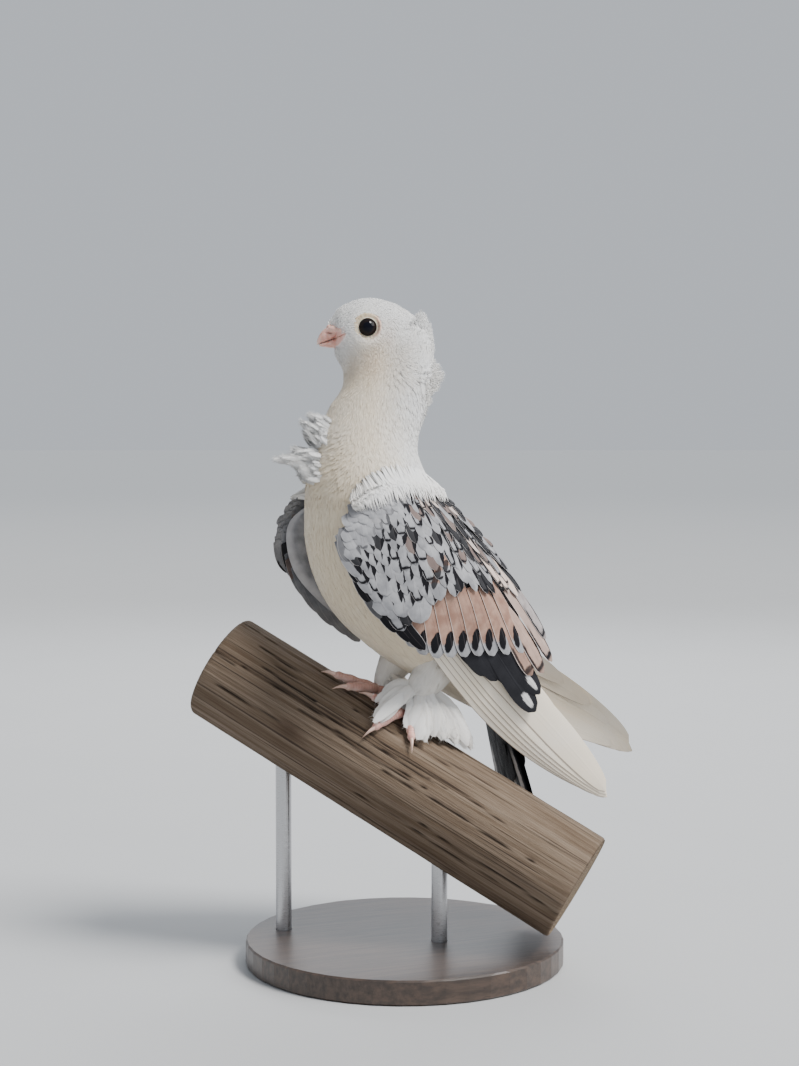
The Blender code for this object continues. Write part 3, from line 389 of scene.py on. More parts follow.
class Plumage:
    """Gathers closed, thin feathers into one mesh."""

    def __init__(self):
        self.points, self.place, self.tone, self.mark, self.rims = [], [], [], [], []
        self.faces, self.uv = [np.zeros((0, 4), int)], [np.zeros((0, 2))]
        self.slivers, self.sliver_uv = [np.zeros((0, 3), int)], [np.zeros((0, 2))]
        self.count = 0

    def hold(self, points, place, tone, mark, rims):
        """Keep points and what goes with each, for n feathers of one size."""
        n, size = points.shape[:2]
        self.points.append(points.reshape(-1, 3))
        self.place.append(place.reshape(-1, 3))
        for store, values in ((self.tone, tone), (self.mark, mark)):
            store.append(np.broadcast_to(np.asarray(values, float).reshape(-1, 1, 3), (n, size, 3)).reshape(-1, 3))
        self.rims.append(np.broadcast_to(rims, (n, size)).ravel())
        starts = self.count + np.arange(n)[:, None, None] * size
        self.count += n * size
        return starts

    def add(self, top, bottom, outward, uv_root, patch, tone, mark, chance):
        """Add feathers from grids of points (feather, row, column, xyz)."""
        n, rows, columns = top.shape[:3]
        upper = np.arange(rows * columns).reshape(rows, columns)
        inner = upper[1:-1, 1:-1]
        lower = upper.copy()
        lower[1:-1, 1:-1] = rows * columns + np.arange(inner.size).reshape(inner.shape)
        face_top = np.stack((upper[:-1, :-1], upper[:-1, 1:], upper[1:, 1:], upper[1:, :-1]), -1).reshape(-1, 4)
        face_low = np.stack((lower[:-1, :-1], lower[1:, :-1], lower[1:, 1:], lower[:-1, 1:]), -1).reshape(-1, 4)
        r, c = rows // 2, columns // 2
        across = top[:, r, c] - top[:, r, c - 1]
        ahead = top[:, r, c] - top[:, r - 1, c]
        if np.mean(np.sum(np.cross(across, ahead) * outward, -1)) < 0.0:
            face_top = face_top[:, ::-1]
            face_low = face_low[:, ::-1]
        x, y = np.meshgrid(np.linspace(0.0, 1.0, rows), np.linspace(-1.0, 1.0, columns), indexing="ij")
        x, y = (np.concatenate((v.ravel(), v[1:-1, 1:-1].ravel())) for v in (x, y))
        flat = joined(0.25 + 0.25 * y, x)
        corners = np.concatenate((flat[face_top], flat[face_low] + np.array((0.5, 0.0)))).reshape(1, -1, 2)
        self.uv.append((uv_root[:, None, :] + corners * patch).reshape(-1, 2))
        points = np.concatenate((top.reshape(n, -1, 3), bottom[:, 1:-1, 1:-1].reshape(n, -1, 3)), axis=1)
        border = np.ones((rows, columns), bool)
        border[1:-1, 1:-1] = False
        border = np.concatenate((border.ravel(), np.zeros(inner.size, bool)))
        starts = self.hold(points, joined(y, x, chance.random(n)[:, None]), tone, mark, border)
        self.faces.append((np.concatenate((face_top, face_low))[None] + starts).reshape(-1, 4))

    def hairs(self, root, tip, width, up, uv_root, patch, tone, chance):
        """Add slim loose barbs, each a long pyramid on three corners."""
        n = len(root)
        ahead = unit(tip - root)
        across = unit(np.cross(ahead, up))
        raised = np.cross(across, ahead)
        wide = np.broadcast_to(np.asarray(width, float), (n,))[:, None]
        points = np.stack((root + across * wide, root - across * wide, root + raised * wide, tip), 1)
        corners = np.tile(((0.2, 0.1), (0.8, 0.1), (0.5, 0.9)), (4, 1)).reshape(1, -1, 2)
        self.sliver_uv.append((uv_root[:, None, :] + corners * patch).reshape(-1, 2))
        place = joined((-0.4, 0.4, 0.0, 0.0), (0.7, 0.7, 0.7, 1.0), chance.random(n)[:, None])
        starts = self.hold(points, place, tone, np.zeros(3), np.zeros(4, bool))
        self.slivers.append((np.array(((0, 1, 3), (1, 2, 3), (2, 0, 3), (0, 2, 1)))[None] + starts).reshape(-1, 3))

    def link(self, name, material, slot):
        """Make the piece."""
        points, place, tone, mark, rims, faces, uv, slivers, sliver_uv = (np.concatenate(held) for held in (
            self.points, self.place, self.tone, self.mark, self.rims, self.faces, self.uv, self.slivers,
            self.sliver_uv))
        vectors = {"place": place, "tone": tone, "mark": mark}
        return link(name, solid(name, points, faces, uv, vectors, rims, slivers, sliver_uv), material)


def feather_width(x, root, tip, full):
    """Relative width along a feather: narrow root, rounded end."""
    rise = root + (1.0 - root) * np.sin(0.5 * math.pi * np.clip(x / full, 0.0, 1.0))
    fall = np.clip((x - full) / (1.0 - full), 0.0, 1.0)
    return np.where(x < full, rise, tip + (1.0 - tip) * np.sqrt(np.maximum(0.0, 1.0 - fall * fall)))


def closed(top, bottom):
    """Both faces of feathers, joined along their roots and tips."""
    bottom[:, [0, -1]] = top[:, [0, -1]]
    return top, bottom


def lay(plumage, surface, p, a, heading, length, half, chance, rows=5, columns=3, shape=(0.5, 0.12, 0.6),
        sink=0.8, lift=0.4, flare=0.0, bow=0.0, camber=0.15, thick=0.14, tilt=0.0, even=1.0,
        uv_root=None, patch=TUFT_PATCH, tone=(0, 0, 0), mark=(0, 0, 0), lopsided=0.0):
    """Lay feathers on a surface, bent to it, from their roots along their headings."""
    each = np.broadcast_arrays(*(np.asarray(v, float) for v in (
        p, a, heading, length, half, lift, bow, sink, tilt, flare)))
    point, normal, dp, da = surface(each[0], each[1])
    p, a, heading, length, half, lift, bow, sink, tilt, flare = (v[:, None, None] for v in each)
    x = np.linspace(0.0, 1.0, rows)[None, :, None] ** even
    y = np.linspace(-1.0, 1.0, columns)[None, None, :]
    width = feather_width(x, *shape)
    e1 = unit(dp)
    c = np.sum(da * e1, -1)
    s = np.linalg.norm(da - c[:, None] * e1, axis=-1)[:, None, None]
    ahead = length * x + 0.0 * y
    sideways = half * width * (y + lopsided) + bow * np.sin(math.pi * x)
    step_a = (np.sin(heading) * ahead + np.cos(heading) * sideways) / s
    step_p = (np.cos(heading) * ahead - np.sin(heading) * sideways - c[:, None, None] * step_a) / np.linalg.norm(
        dp, axis=-1)[:, None, None]
    where, up, _, _ = surface(p + step_p, a + step_a)
    rise = -sink * (1.0 - x) ** 2 + lift * x + flare * x * x
    rise = rise + camber * half * width * (1.0 - y * y) + tilt * sideways
    edge = thick * (1.0 - np.abs(y) ** 2)
    top, bottom = closed(where + up * (rise + edge)[..., None], where + up * (rise - edge)[..., None])
    if uv_root is None:
        uv_root = trunk_uv(*each[:2])
    plumage.add(top, bottom, normal, uv_root, patch, tone, mark, chance)


def sweep(plumage, root, bend, tip, side, half, chance, uv_root, rows=8, columns=5, shape=(0.5, 0.15, 0.55),
          camber=0.2, thick=0.12, ragged=0.0, patch=TUFT_PATCH, tone=(0, 0, 0), mark=(0, 0, 0), fringe=0,
          fringe_reach=0.9):
    """Free feathers on bent paths, with an optional fringe of loose barbs."""
    n = len(root)
    x = np.linspace(0.0, 1.0, rows)[None, :, None]
    y = np.linspace(-1.0, 1.0, columns)[None, None, :]
    centre, across, normal = bent(root, bend, tip, side, x[..., 0])
    width = feather_width(x, *shape) * half[:, None, None]
    if ragged:
        width = width * (1.0 - ragged * chance.random((n, rows, 1)))
    cup = camber * width * (1.0 - y * y)
    edge = thick * (1.0 - y * y)
    spread = centre[:, :, None] + across[:, :, None] * (width * y)[..., None]
    top, bottom = closed(spread + normal[:, :, None] * (cup + edge)[..., None],
                         spread + normal[:, :, None] * (cup - edge)[..., None])
    plumage.add(top, bottom, normal[:, rows // 2], uv_root, patch, tone, mark, chance)
    if fringe:
        barbs(plumage, root, bend, tip, side, half, chance, shape, fringe, fringe_reach, uv_root, patch, tone)


def bent(root, bend, tip, side, x):
    """Centre line, cross direction and normal of bent paths at shares x."""
    x = np.broadcast_to(x, (len(root), x.shape[1]))[..., None]
    r, b, t = root[:, None], bend[:, None], tip[:, None]
    centre = r * (1.0 - x) ** 2 + b * (2.0 * x * (1.0 - x)) + t * x * x
    ahead = unit((b - r) * (1.0 - x) + (t - b) * x)
    normal = unit(np.cross(side[:, None] + 0.0 * ahead, ahead))
    return centre, unit(np.cross(ahead, normal)), normal


def barbs(plumage, root, bend, tip, side, half, chance, shape, count, reach, uv_root, patch, tone):
    """Slim loose barbs from both sides and the end of free feathers."""
    n = len(root)
    for hand in (-1.0, 1.0):
        share = 1.0 - 0.72 * (1.0 - np.linspace(0.0, 1.0, count)[None, :]) ** 1.3
        share = np.clip(share + chance.uniform(-0.03, 0.03, (n, count)), 0.1, 0.995)
        centre, across, normal = bent(root, bend, tip, side, share)
        later, _, _ = bent(root, bend, tip, side, np.minimum(share + 0.04, 1.04))
        ahead = unit(later - centre + 1e-6)
        width = feather_width(share, *shape) * half[:, None]
        inset = chance.uniform(0.3, 0.85, (n, count))
        start = centre + across * (hand * inset * width)[..., None]
        spread = chance.uniform(0.15, 0.75, (n, count))
        out = unit(across * (hand * spread)[..., None] + ahead
                   + normal * chance.uniform(-0.12, 0.3, (n, count))[..., None])
        length = reach * chance.uniform(0.6, 1.4, (n, count)) * np.sqrt(half)[:, None]
        tones = np.repeat(np.broadcast_to(np.asarray(tone, float).reshape(-1, 3), (n, 3)), count, axis=0)
        plumage.hairs(start.reshape(-1, 3), (start + out * length[..., None]).reshape(-1, 3), BARB_WIDTH,
                      normal.reshape(-1, 3), np.repeat(uv_root, count, axis=0), patch, tones, chance)


# Materials

class Wire:
    """An output of a material's node, which sums are written with."""

    def __init__(self, shader, socket):
        self.shader, self.socket = shader, socket

    def __add__(self, other):
        return self.shader.math("ADD", self, other)

    def __sub__(self, other):
        return self.shader.math("SUBTRACT", self, other)

    def __rsub__(self, other):
        return self.shader.math("SUBTRACT", other, self)

    def __mul__(self, other):
        return self.shader.math("MULTIPLY", self, other)

    def __truediv__(self, other):
        return self.shader.math("DIVIDE", self, other)

    def __abs__(self):
        return self.shader.math("ABSOLUTE", self)

    def step(self, low, high, to_low=0.0, to_high=1.0):
        """A smooth step of the value between two bounds."""
        ranges = {"Value": self, "From Min": low, "From Max": high, "To Min": to_low, "To Max": to_high}
        return self.shader.node("MapRange", ranges, interpolation_type="SMOOTHSTEP")


class Shader:
    """A few short calls for building a node material."""

    def __init__(self, name, roughness, **fixed):
        self.material = bpy.data.materials.new(name)
        self.material.use_nodes = True
        self.tree = self.material.node_tree
        self.base = self.tree.nodes["Principled BSDF"]
        self.base.inputs["Roughness"].default_value = roughness
        for key, value in fixed.items():
            self.base.inputs[key.replace("_", " ")].default_value = value

    def put(self, socket, value):
        """Link a wire, or set a value, on an input."""
        if isinstance(value, Wire):
            self.tree.links.new(value.socket, socket)
        elif socket.type == "RGBA":
            socket.default_value = (*value, 1.0)
        else:
            socket.default_value = value

    def node(self, kind, inputs=None, output=0, **settings):
        """One output of a new node, with inputs by number or name."""
        made = self.tree.nodes.new("ShaderNode" + kind)
        for key, value in settings.items():
            setattr(made, key, value)
        for key, value in (inputs or {}).items():
            self.put(made.inputs[key], value)
        return Wire(self, made.outputs[output])

    def attribute(self, name):
        """The three parts of a vector held on the mesh, and the vector."""
        vector = self.node("Attribute", output="Vector", attribute_name=name)
        first = self.node("SeparateXYZ", {0: vector})
        return (*(Wire(self, part) for part in first.socket.node.outputs), vector)

    def math(self, operation, a, b=0.0, clamp=False):
        """A sum of two values."""
        return self.node("Math", {0: a, 1: b}, operation=operation, use_clamp=clamp)

    def layers(self, colour, *above):
        """A colour with others over it, each by its share."""
        for share, other in above:
            colour = self.node("Mix", {0: share, 6: colour, 7: other}, 2, data_type="RGBA")
        return colour

    def noise(self, scale, detail=3.0, roughness=0.5, vector=None):
        """A noise value in the object's own space, or along a vector."""
        inputs = {"Scale": scale, "Detail": detail, "Roughness": roughness, "Vector": vector or self.here()}
        return self.node("TexNoise", inputs, "Fac")

    def streaked(self, vector, stretch, detail=3.0, roughness=0.5):
        """A noise value along a vector that is stretched on each axis."""
        stretched = self.node("VectorMath", {0: vector, 1: stretch}, operation="MULTIPLY")
        return self.noise(1.0, detail, roughness, stretched)

    def here(self):
        """The place in the object's own space."""
        return self.node("TexCoord", output="Object")

    def done(self, colour, height=None, strength=0.0, distance=0.0):
        """The material with its base colour and a bump from a height."""
        self.put(self.base.inputs["Base Color"], colour)
        if height:
            bump = self.node("Bump", {"Strength": strength, "Distance": distance, "Height": height})
            self.put(self.base.inputs["Normal"], bump)
        return self.material


WHITE = (0.87, 0.87, 0.865)
CREAM = (0.88, 0.745, 0.54)
# SHADE is a darker warm cream: painted shade on the white plumage, and some random darkening of feathers and skin
SHADE = (0.70, 0.585, 0.46)
ASH = (0.215, 0.215, 0.228)
PALE_ASH = (0.36, 0.36, 0.372)
BRONZE = (0.27, 0.155, 0.115)
PINK_WHITE = (0.66, 0.53, 0.46)
BLACK = (0.006, 0.006, 0.008)


def oval(x, y, low, high, most=1.0):
    """A smooth step down from inside an oval to outside it."""
    return (x * x + y * y).step(low, high, most, 0.0)


def barb_height(shader):
    """Fine barbs running out and forward from the shaft, with the shaft raised."""
    across, along, _, _ = shader.attribute("place")
    waves = shader.math("SINE", (along * 64.0 - abs(across) * 11.0) * 6.28)
    return waves * 0.3 + abs(across).step(0.0, 0.10, 1.0, 0.0) * 1.6


def streaks(shader, across):
    """Hair-like streaks that run along each feather."""
    return shader.streaked(shader.attribute("place")[3], (across, 1.1, 37.0), 3.0, 0.6)


def white_plumage(name="white_plumage", skin=False):
    """White to cream body feathers. tone is (cream, shade, pink); shade and part of cream are painted shade."""
    shader = Shader(name, 0.62, Sheen_Weight=0.25, Sheen_Roughness=0.45, Specular_IOR_Level=0.25,
                    Subsurface_Weight=0.0 if skin else 0.25, Subsurface_Scale=0.0006,
                    Subsurface_Radius=(1.0, 1.0, 1.0))
    cream, shade, pink, _ = shader.attribute("tone")
    share = shader.math("ADD", cream, (shader.noise(60.0, 4.0) - 0.5) * 0.35, True)
    colour = shader.layers(WHITE, (share, CREAM), (shade, SHADE))
    if skin:
        fine = shader.noise(420.0, 4.0, 0.65)
        colour = shader.layers(colour, (fine.step(0.3, 0.7, 0.0, 0.25), SHADE),
                               (shader.math("ADD", pink, 0.0, True), (0.74, 0.42, 0.35)))
        return shader.done(colour, fine, 0.4, 0.0004)
    hair = streaks(shader, 2.4)
    chance = shader.attribute("place")[2]
    # Painted shade: the hair streaks are darkened towards SHADE, as shade between the barbs; some feathers are also
    # darker at random
    colour = shader.layers(colour, (hair.step(0.42, 0.75, 0.0, 0.20), SHADE),
                           (chance.step(0.75, 1.0, 0.0, 0.10), SHADE), (pink * 0.55, (0.80, 0.52, 0.45)))
    return shader.done(colour, hair, 0.5, 0.0003)


def shield_plumage():
    """Ash wing feathers. tone is (bronze, dark, pale), mark is (lace, drop, blotch)."""
    shader = Shader("shield_plumage", 0.6, Specular_IOR_Level=0.12)
    across, along, chance, _ = shader.attribute("place")
    bronze, dark, pale, _ = shader.attribute("tone")
    lace, drop, blotch, _ = shader.attribute("mark")
    wobble = (shader.noise(260.0, 5.0, 0.7) - 0.5) * 0.5
    side = abs(across + wobble)
    ash = shader.layers(ASH, (shader.noise(150.0).step(0.35, 0.7), PALE_ASH), (chance * 0.4, PALE_ASH))
    warm = shader.layers(BRONZE, (shader.noise(200.0).step(0.3, 0.75), (0.40, 0.255, 0.195)))
    end = (along + wobble * 0.25).step(0.74, 0.80)
    bronze_here = bronze * (1.0 - end * drop.step(0.1, 0.4))
    # Lacing along the edge, a drop before the end and a blotch down one side
    rim = shader.math("MAXIMUM", side.step(0.62, 0.76), (along + wobble * 0.3).step(0.86, 0.91))
    outer = shader.math("MAXIMUM", side, along).step(0.93, 0.97, 1.0, 0.25)
    lace_here = lace * (rim * outer * along.step(0.42, 0.60))
    skewed = across + (along - 0.77) * 2.2
    drop_here = drop * oval((skewed + wobble + 0.22) / 0.50, (along - 0.765) / 0.145, 0.8, 1.2)
    blotch_here = blotch * oval((across + wobble - 0.45) / 0.42, (along - 0.76) / 0.24, 0.75, 1.2)
    black = shader.math("MAXIMUM", shader.math("MAXIMUM", lace_here, drop_here), blotch_here)
    thin = abs(across).step(0.90, 0.97) * 0.45
    seen = bronze.step(0.0, 1.0, 0.5, 1.0) + dark * 0.8
    shaft = abs(across).step(0.0, 0.05, 0.35, 0.0)
    colour = shader.layers(ash, (bronze_here, warm), (pale, PINK_WHITE), (dark, BLACK), (black, BLACK),
                           (thin * seen, (0.74, 0.70, 0.68)), (shaft, (0.12, 0.10, 0.10)))
    return shader.done(colour, barb_height(shader) + shader.noise(700.0), 0.18, 0.0002)


def flight_plumage():
    """White flight feathers with thin grey-brown edges. tone is (cream, edge, dark)."""
    shader = Shader("flight_plumage", 0.48, Specular_IOR_Level=0.35, Sheen_Weight=0.2)
    across, along, _, _ = shader.attribute("place")
    cream, edge, dark, _ = shader.attribute("tone")
    broad = shader.noise(40.0)
    shaft = abs(across + 0.32).step(0.0, 0.05, 0.35, 0.0)
    worn = along.step(0.86, 1.0) * (broad * 0.4)
    colour = shader.layers(WHITE, (shader.math("ADD", broad * 0.5, cream, True), CREAM),
                           (across.step(-0.90, -0.97) * edge, (0.30, 0.24, 0.19)), (shaft, (0.72, 0.62, 0.48)),
                           (worn, (0.62, 0.50, 0.36)), (dark, BLACK))
    return shader.done(colour, barb_height(shader) + shader.noise(500.0), 0.09, 0.0004)


def tail_plumage():
    """Charcoal feathers. mark is (pale streak, pale spot at the end, unused)."""
    shader = Shader("tail_plumage", 0.55, Specular_IOR_Level=0.14)
    across, along, _, _ = shader.attribute("place")
    streak, spot, _, _ = shader.attribute("mark")
    wobble = (shader.noise(300.0, 4.0) - 0.5) * 0.35
    band = abs(abs(across) - 0.62 + wobble).step(0.20, 0.34, 1.0, 0.0)
    reach = along.step(0.20, 0.32) * along.step(0.93, 0.985, 1.0, 0.0)
    frayed = across + wobble + (streaks(shader, 9.0) - 0.5) * 0.9
    end = oval(frayed / 0.30, (along - 0.86) / 0.085, 0.6, 1.4, 0.9)
    colour = shader.layers(BLACK, (shader.noise(120.0, 4.0), (0.026, 0.026, 0.031)),
                           (streak * (band * reach), (0.58, 0.57, 0.57)), (spot * end, (0.70, 0.69, 0.68)))
    return shader.done(colour, barb_height(shader) + shader.noise(500.0), 0.3, 0.0004)


def bill_horn():
    """Flesh pink horn, paler at the tip, with painted shade in the nostril, along the mouth line and round the cere.
    tone is (tip, dark, chalk); dark is painted shade.
    """
    shader = Shader("bill_horn", 0.38, Subsurface_Weight=0.15, Subsurface_Scale=0.001, Specular_IOR_Level=0.45)
    tip, dark, chalk, _ = shader.attribute("tone")
    # dark paints shade into the nostril, the mouth line, the lips' inner sides and round the cere's edge
    colour = shader.layers((0.66, 0.34, 0.27), (shader.noise(500.0, 4.0).step(0.3, 0.7), (0.78, 0.47, 0.39)),
                           (tip, (0.83, 0.62, 0.54)), (chalk, (0.86, 0.60, 0.52)), (dark, (0.10, 0.035, 0.03)))
    return shader.done(colour, shader.noise(1500.0, 4.0), 0.15, 0.0003)


def lid_skin():
    """The pale ring of bare skin round the eye. tone is (rim, pink, yellow)."""
    shader = Shader("lid_skin", 0.5, Subsurface_Weight=0.1, Subsurface_Scale=0.001)
    rim, pink, yellow, _ = shader.attribute("tone")
    fine = shader.noise(1400.0, 4.0)
    colour = shader.layers((0.50, 0.43, 0.32), (fine.step(0.3, 0.7), (0.64, 0.575, 0.455)),
                           (yellow, (0.60, 0.43, 0.24)), (pink, (0.74, 0.42, 0.36)), (rim, (0.055, 0.05, 0.05)))
    return shader.done(colour, fine, 0.4, 0.0003)


def eye_glass():
    """A wet dark eye. tone.x is the distance from the eye's axis."""
    shader = Shader("eye_glass", 0.05, Coat_Weight=0.12, Coat_Roughness=0.02, Specular_IOR_Level=0.10)
    off = shader.attribute("tone")[0]
    # The pupil's faint blue is a painted reflection of the sky
    return shader.done(shader.layers((0.004, 0.003, 0.004), (shader.noise(900.0, 4.0), (0.014, 0.008, 0.007)),
                                     (off.step(0.42, 0.48, 1.0, 0.0), (0.002, 0.002, 0.006)),
                                     (off.step(0.74, 0.82), (0.004, 0.004, 0.005))))


def toe_skin():
    """Scaled pink toes. tone is (between scales, dust, brown); the right foot's extra brown is painted shade."""
    shader = Shader("toe_scale", 0.5, Subsurface_Weight=0.1, Subsurface_Scale=0.001)
    seam, dust, brown, _ = shader.attribute("tone")
    mottled = shader.noise(600.0, 4.0)
    colour = shader.layers((0.62, 0.27, 0.22), (mottled.step(0.3, 0.7), (0.74, 0.42, 0.35)),
                           (brown * 0.7, (0.40, 0.22, 0.17)), (seam, (0.30, 0.13, 0.10)), (dust, (0.76, 0.60, 0.52)))
    return shader.done(colour, mottled, 0.25, 0.0004)


def claw_horn():
    """Horn claws, pale pink at the root and browner at the tip. tone.x runs to the tip."""
    shader = Shader("claw_horn", 0.32, Specular_IOR_Level=0.5)
    colour = shader.layers((0.74, 0.50, 0.42), (shader.attribute("tone")[0], (0.42, 0.27, 0.20)),
                           (shader.noise(900.0).step(0.35, 0.7), (0.60, 0.42, 0.34)))
    return shader.done(colour, shader.noise(1200.0), 0.12, 0.0003)


def weathered_wood():
    """Weathered brown wood with grain along the pole. tone is (crack, cut end, knot); the cracks are painted near
    black, as shade.
    """
    shader = Shader("weathered_wood", 0.85, Specular_IOR_Level=0.2)
    crack, end, knot, _ = shader.attribute("tone")
    grain = shader.attribute("grain")[3]
    broad = shader.streaked(grain, (0.014, 0.4, 0.4), 4.0, 0.6)
    fine = shader.streaked(grain, (0.016, 1.9, 1.9), 5.0, 0.7)
    hair = shader.streaked(grain, (0.035, 6.0, 6.0), 4.0, 0.7)
    lines = shader.streaked(grain, (0.007, 0.9, 0.9), 3.0, 0.55).step(0.60, 0.65)
    # Painted shade: the cracks and the end's check are painted near black
    colour = shader.layers((0.125, 0.085, 0.055), (broad.step(0.3, 0.7), (0.245, 0.185, 0.135)),
                           (fine.step(0.42, 0.72, 0.0, 0.75), (0.085, 0.055, 0.035)),
                           (hair.step(0.5, 0.75, 0.0, 0.55), (0.31, 0.25, 0.19)),
                           (knot * 0.7, (0.06, 0.035, 0.022)), (lines * 0.75, (0.045, 0.03, 0.022)),
                           (crack, (0.022, 0.014, 0.010)))
    radius = shader.attribute("disc")[0] + shader.streaked(grain, (0.2, 0.7, 0.7)) * 2.0
    rings = shader.math("SINE", radius * 3.1).step(-0.4, 0.9)
    cut = shader.layers((0.19, 0.13, 0.08), (rings, (0.34, 0.26, 0.175)),
                        (hair.step(0.45, 0.7, 0.0, 0.5), (0.12, 0.085, 0.055)))
    height = fine + hair * 0.5 - lines - crack * 1.5
    return shader.done(shader.layers(colour, (end, cut)), height, 0.75, 0.0010)


def rod_steel():
    """Brushed steel."""
    shader = Shader("rod_steel", 0.3, Metallic=1.0)
    brushed = shader.streaked(shader.here(), (400.0, 400.0, 5200.0))
    shader.put(shader.base.inputs["Roughness"], brushed.step(0.2, 0.8, 0.24, 0.42))
    return shader.done(shader.layers((0.46, 0.46, 0.47), (brushed, (0.64, 0.64, 0.65))), brushed, 0.08, 0.0002)


def base_plate():
    """Dark stained wood with a satin lacquer."""
    shader = Shader("base_plate", 0.34, Coat_Weight=0.25, Coat_Roughness=0.2)
    grain = shader.streaked(shader.here(), (30.0, 520.0, 300.0), 5.0, 0.6)
    pores = shader.streaked(shader.here(), (220.0, 2400.0, 1500.0), 2.0)
    colour = shader.layers((0.030, 0.020, 0.015), (grain.step(0.3, 0.7), (0.075, 0.048, 0.034)),
                           (pores.step(0.62, 0.75, 0.0, 0.6), (0.012, 0.008, 0.007)))
    return shader.done(colour, grain + pores, 0.12, 0.0004)


# The trunk's lie and colour

def lie(p, angle, chance):
    """Heading from straight down the trunk and flare of its feathers."""
    a = about(angle, whole=2.0 * math.pi)
    m = np.abs(a)
    side = np.where(a >= 0.0, 1.0, -1.0)
    frill = between(p, 11.0, 12.6, 14.8, 16.0) * smooth(m, 1.6, 2.5)
    crest = between(p, 7.5, 8.4, 10.0, 10.8) * (1.0 - smooth(m, 0.5, 1.4))
    mane = between(p, 9.6, 10.7, 12.4, 13.8) * (1.0 - smooth(m, 0.7, 1.6))
    cheek = between(p, 2.0, 5.0, 9.0, 11.5) * smooth(m, 0.9, 1.5) * (1.0 - smooth(m, 2.3, 2.9))
    heading = side * (1.15 * frill - 3.1 * crest - 0.35 * mane + 0.30 * cheek)
    return heading + chance.normal(0.0, 0.07, p.shape), 2.2 * frill + 0.8 * crest + 1.8 * mane


def body_tone(p, angle):
    """Cream, painted shade and pink on the white body, for skin and feathers alike; part of the cream is painted warm
    shade.
    """
    m = from_back(angle)
    # Cream on the sides and front, most on the breast, white along the back: partly the plumage's own tint and partly
    # painted warm shade on the side turned from the light
    cream = 0.05 + 0.74 * smooth(m, 0.75, 1.75) * smooth(p, 2.0, 8.0)
    cream = cream * (1.0 - 0.30 * smooth(p, 21.0, 27.0))
    cream = cream + 0.25 * smooth(p, 12.0, 17.0) * smooth(m, 1.4, 2.4)
    back, height, _ = head_place(trunk_point(p, angle))
    line = height - mouth_height(back)
    away = 0.35 * np.maximum(0.0, line - 1.5)
    cere = smooth(-20.1 - away - back, -0.7, 0.5) * smooth(line, -1.8, -0.8) * (1.0 - smooth(line, 3.9, 4.9))
    jaw = smooth(-17.2 + 1.1 * line - back, -0.7, 0.5) * smooth(-line, 0.4, 1.2) * (1.0 - smooth(-line, 3.6, 4.6))
    gape = np.exp(-(line / 1.1) ** 2) * (1.0 - smooth(back, -18.8, -17.4))
    pink = np.maximum(np.maximum(cere, jaw), gape) * (back < -14.0)
    cheek = np.exp(-((back + 5.0) / 9.0) ** 2 - ((height - 178.0) / 8.0) ** 2)
    throat = np.exp(-((back + 15.0) / 6.0) ** 2 - ((height - 174.0) / 9.0) ** 2)
    behind = np.exp(-((back - 1.0) / 4.0) ** 2 - ((height - 190.0) / 5.0) ** 2)
    blush = 0.30 * np.maximum(behind, 0.7 * cheek) * (p < 12.0)
    # On the cheek and throat, shade and the extra cream are painted shade between the streaks of feathers
    shade = 0.34 * np.maximum(cheek, throat) * (p < 14.0)
    cream = cream + 0.25 * np.maximum(cheek, throat) * (p < 14.0)
    return np.stack((np.clip(cream, 0.0, 1.0), shade, np.maximum(pink, blush)), -1)


def head_place(points):
    """Points as back, height and right in the turned head."""
    angle = math.radians(HEAD_TURN)
    x, y = points[..., 0] - NECK_AXIS_X, points[..., 1]
    return x * math.cos(angle) - y * math.sin(angle), points[..., 2], x * math.sin(angle) + y * math.cos(angle)


def mouth_height(back):
    """Height of the mouth line, from the bill's tip to the gape."""
    return np.interp(back, MOUTH_BACK, MOUTH_HEIGHT)


def under_wing(points):
    """Whether points of the trunk lie well under a folded wing's cover."""
    s, t = wing_coordinates(points)
    last = len(SHIELD_LOWER) - 1
    shares = np.linspace(0.0, last, 41)
    low, high = eased(SHIELD_LOWER, shares), eased(SHIELD_UPPER, shares)
    bottom = np.interp(s, low[6:, 0], low[6:, 1])
    top = np.interp(s, high[:, 0], high[:, 1])
    inside = (s > 12.0) & (s < 96.0) & (t > bottom + 7.0) & (t < top - 9.0)
    return inside & (np.abs(points[..., 1]) > 14.0)


def eye_distance(points):
    """Distance of points from the axis through both eyes, and the side they are on."""
    centre = turned(EYE_PLACE[0], 0.0, EYE_PLACE[1], HEAD_TURN)
    axis = head_way(0.0, 1.0, 0.0)
    offset = points - centre
    v = np.sum(offset * axis, -1)
    return np.linalg.norm(offset - v[..., None] * axis, axis=-1), v


def ring_gap(points):
    """How far points lie outside the bare ring round the eye, which is widest above."""
    away, _ = eye_distance(points)
    above = 0.5 + 0.5 * np.clip((points[..., 2] - EYE_PLACE[1]) / np.maximum(away, 0.1), -1.0, 1.0)
    return away - 5.5 - 1.2 * above


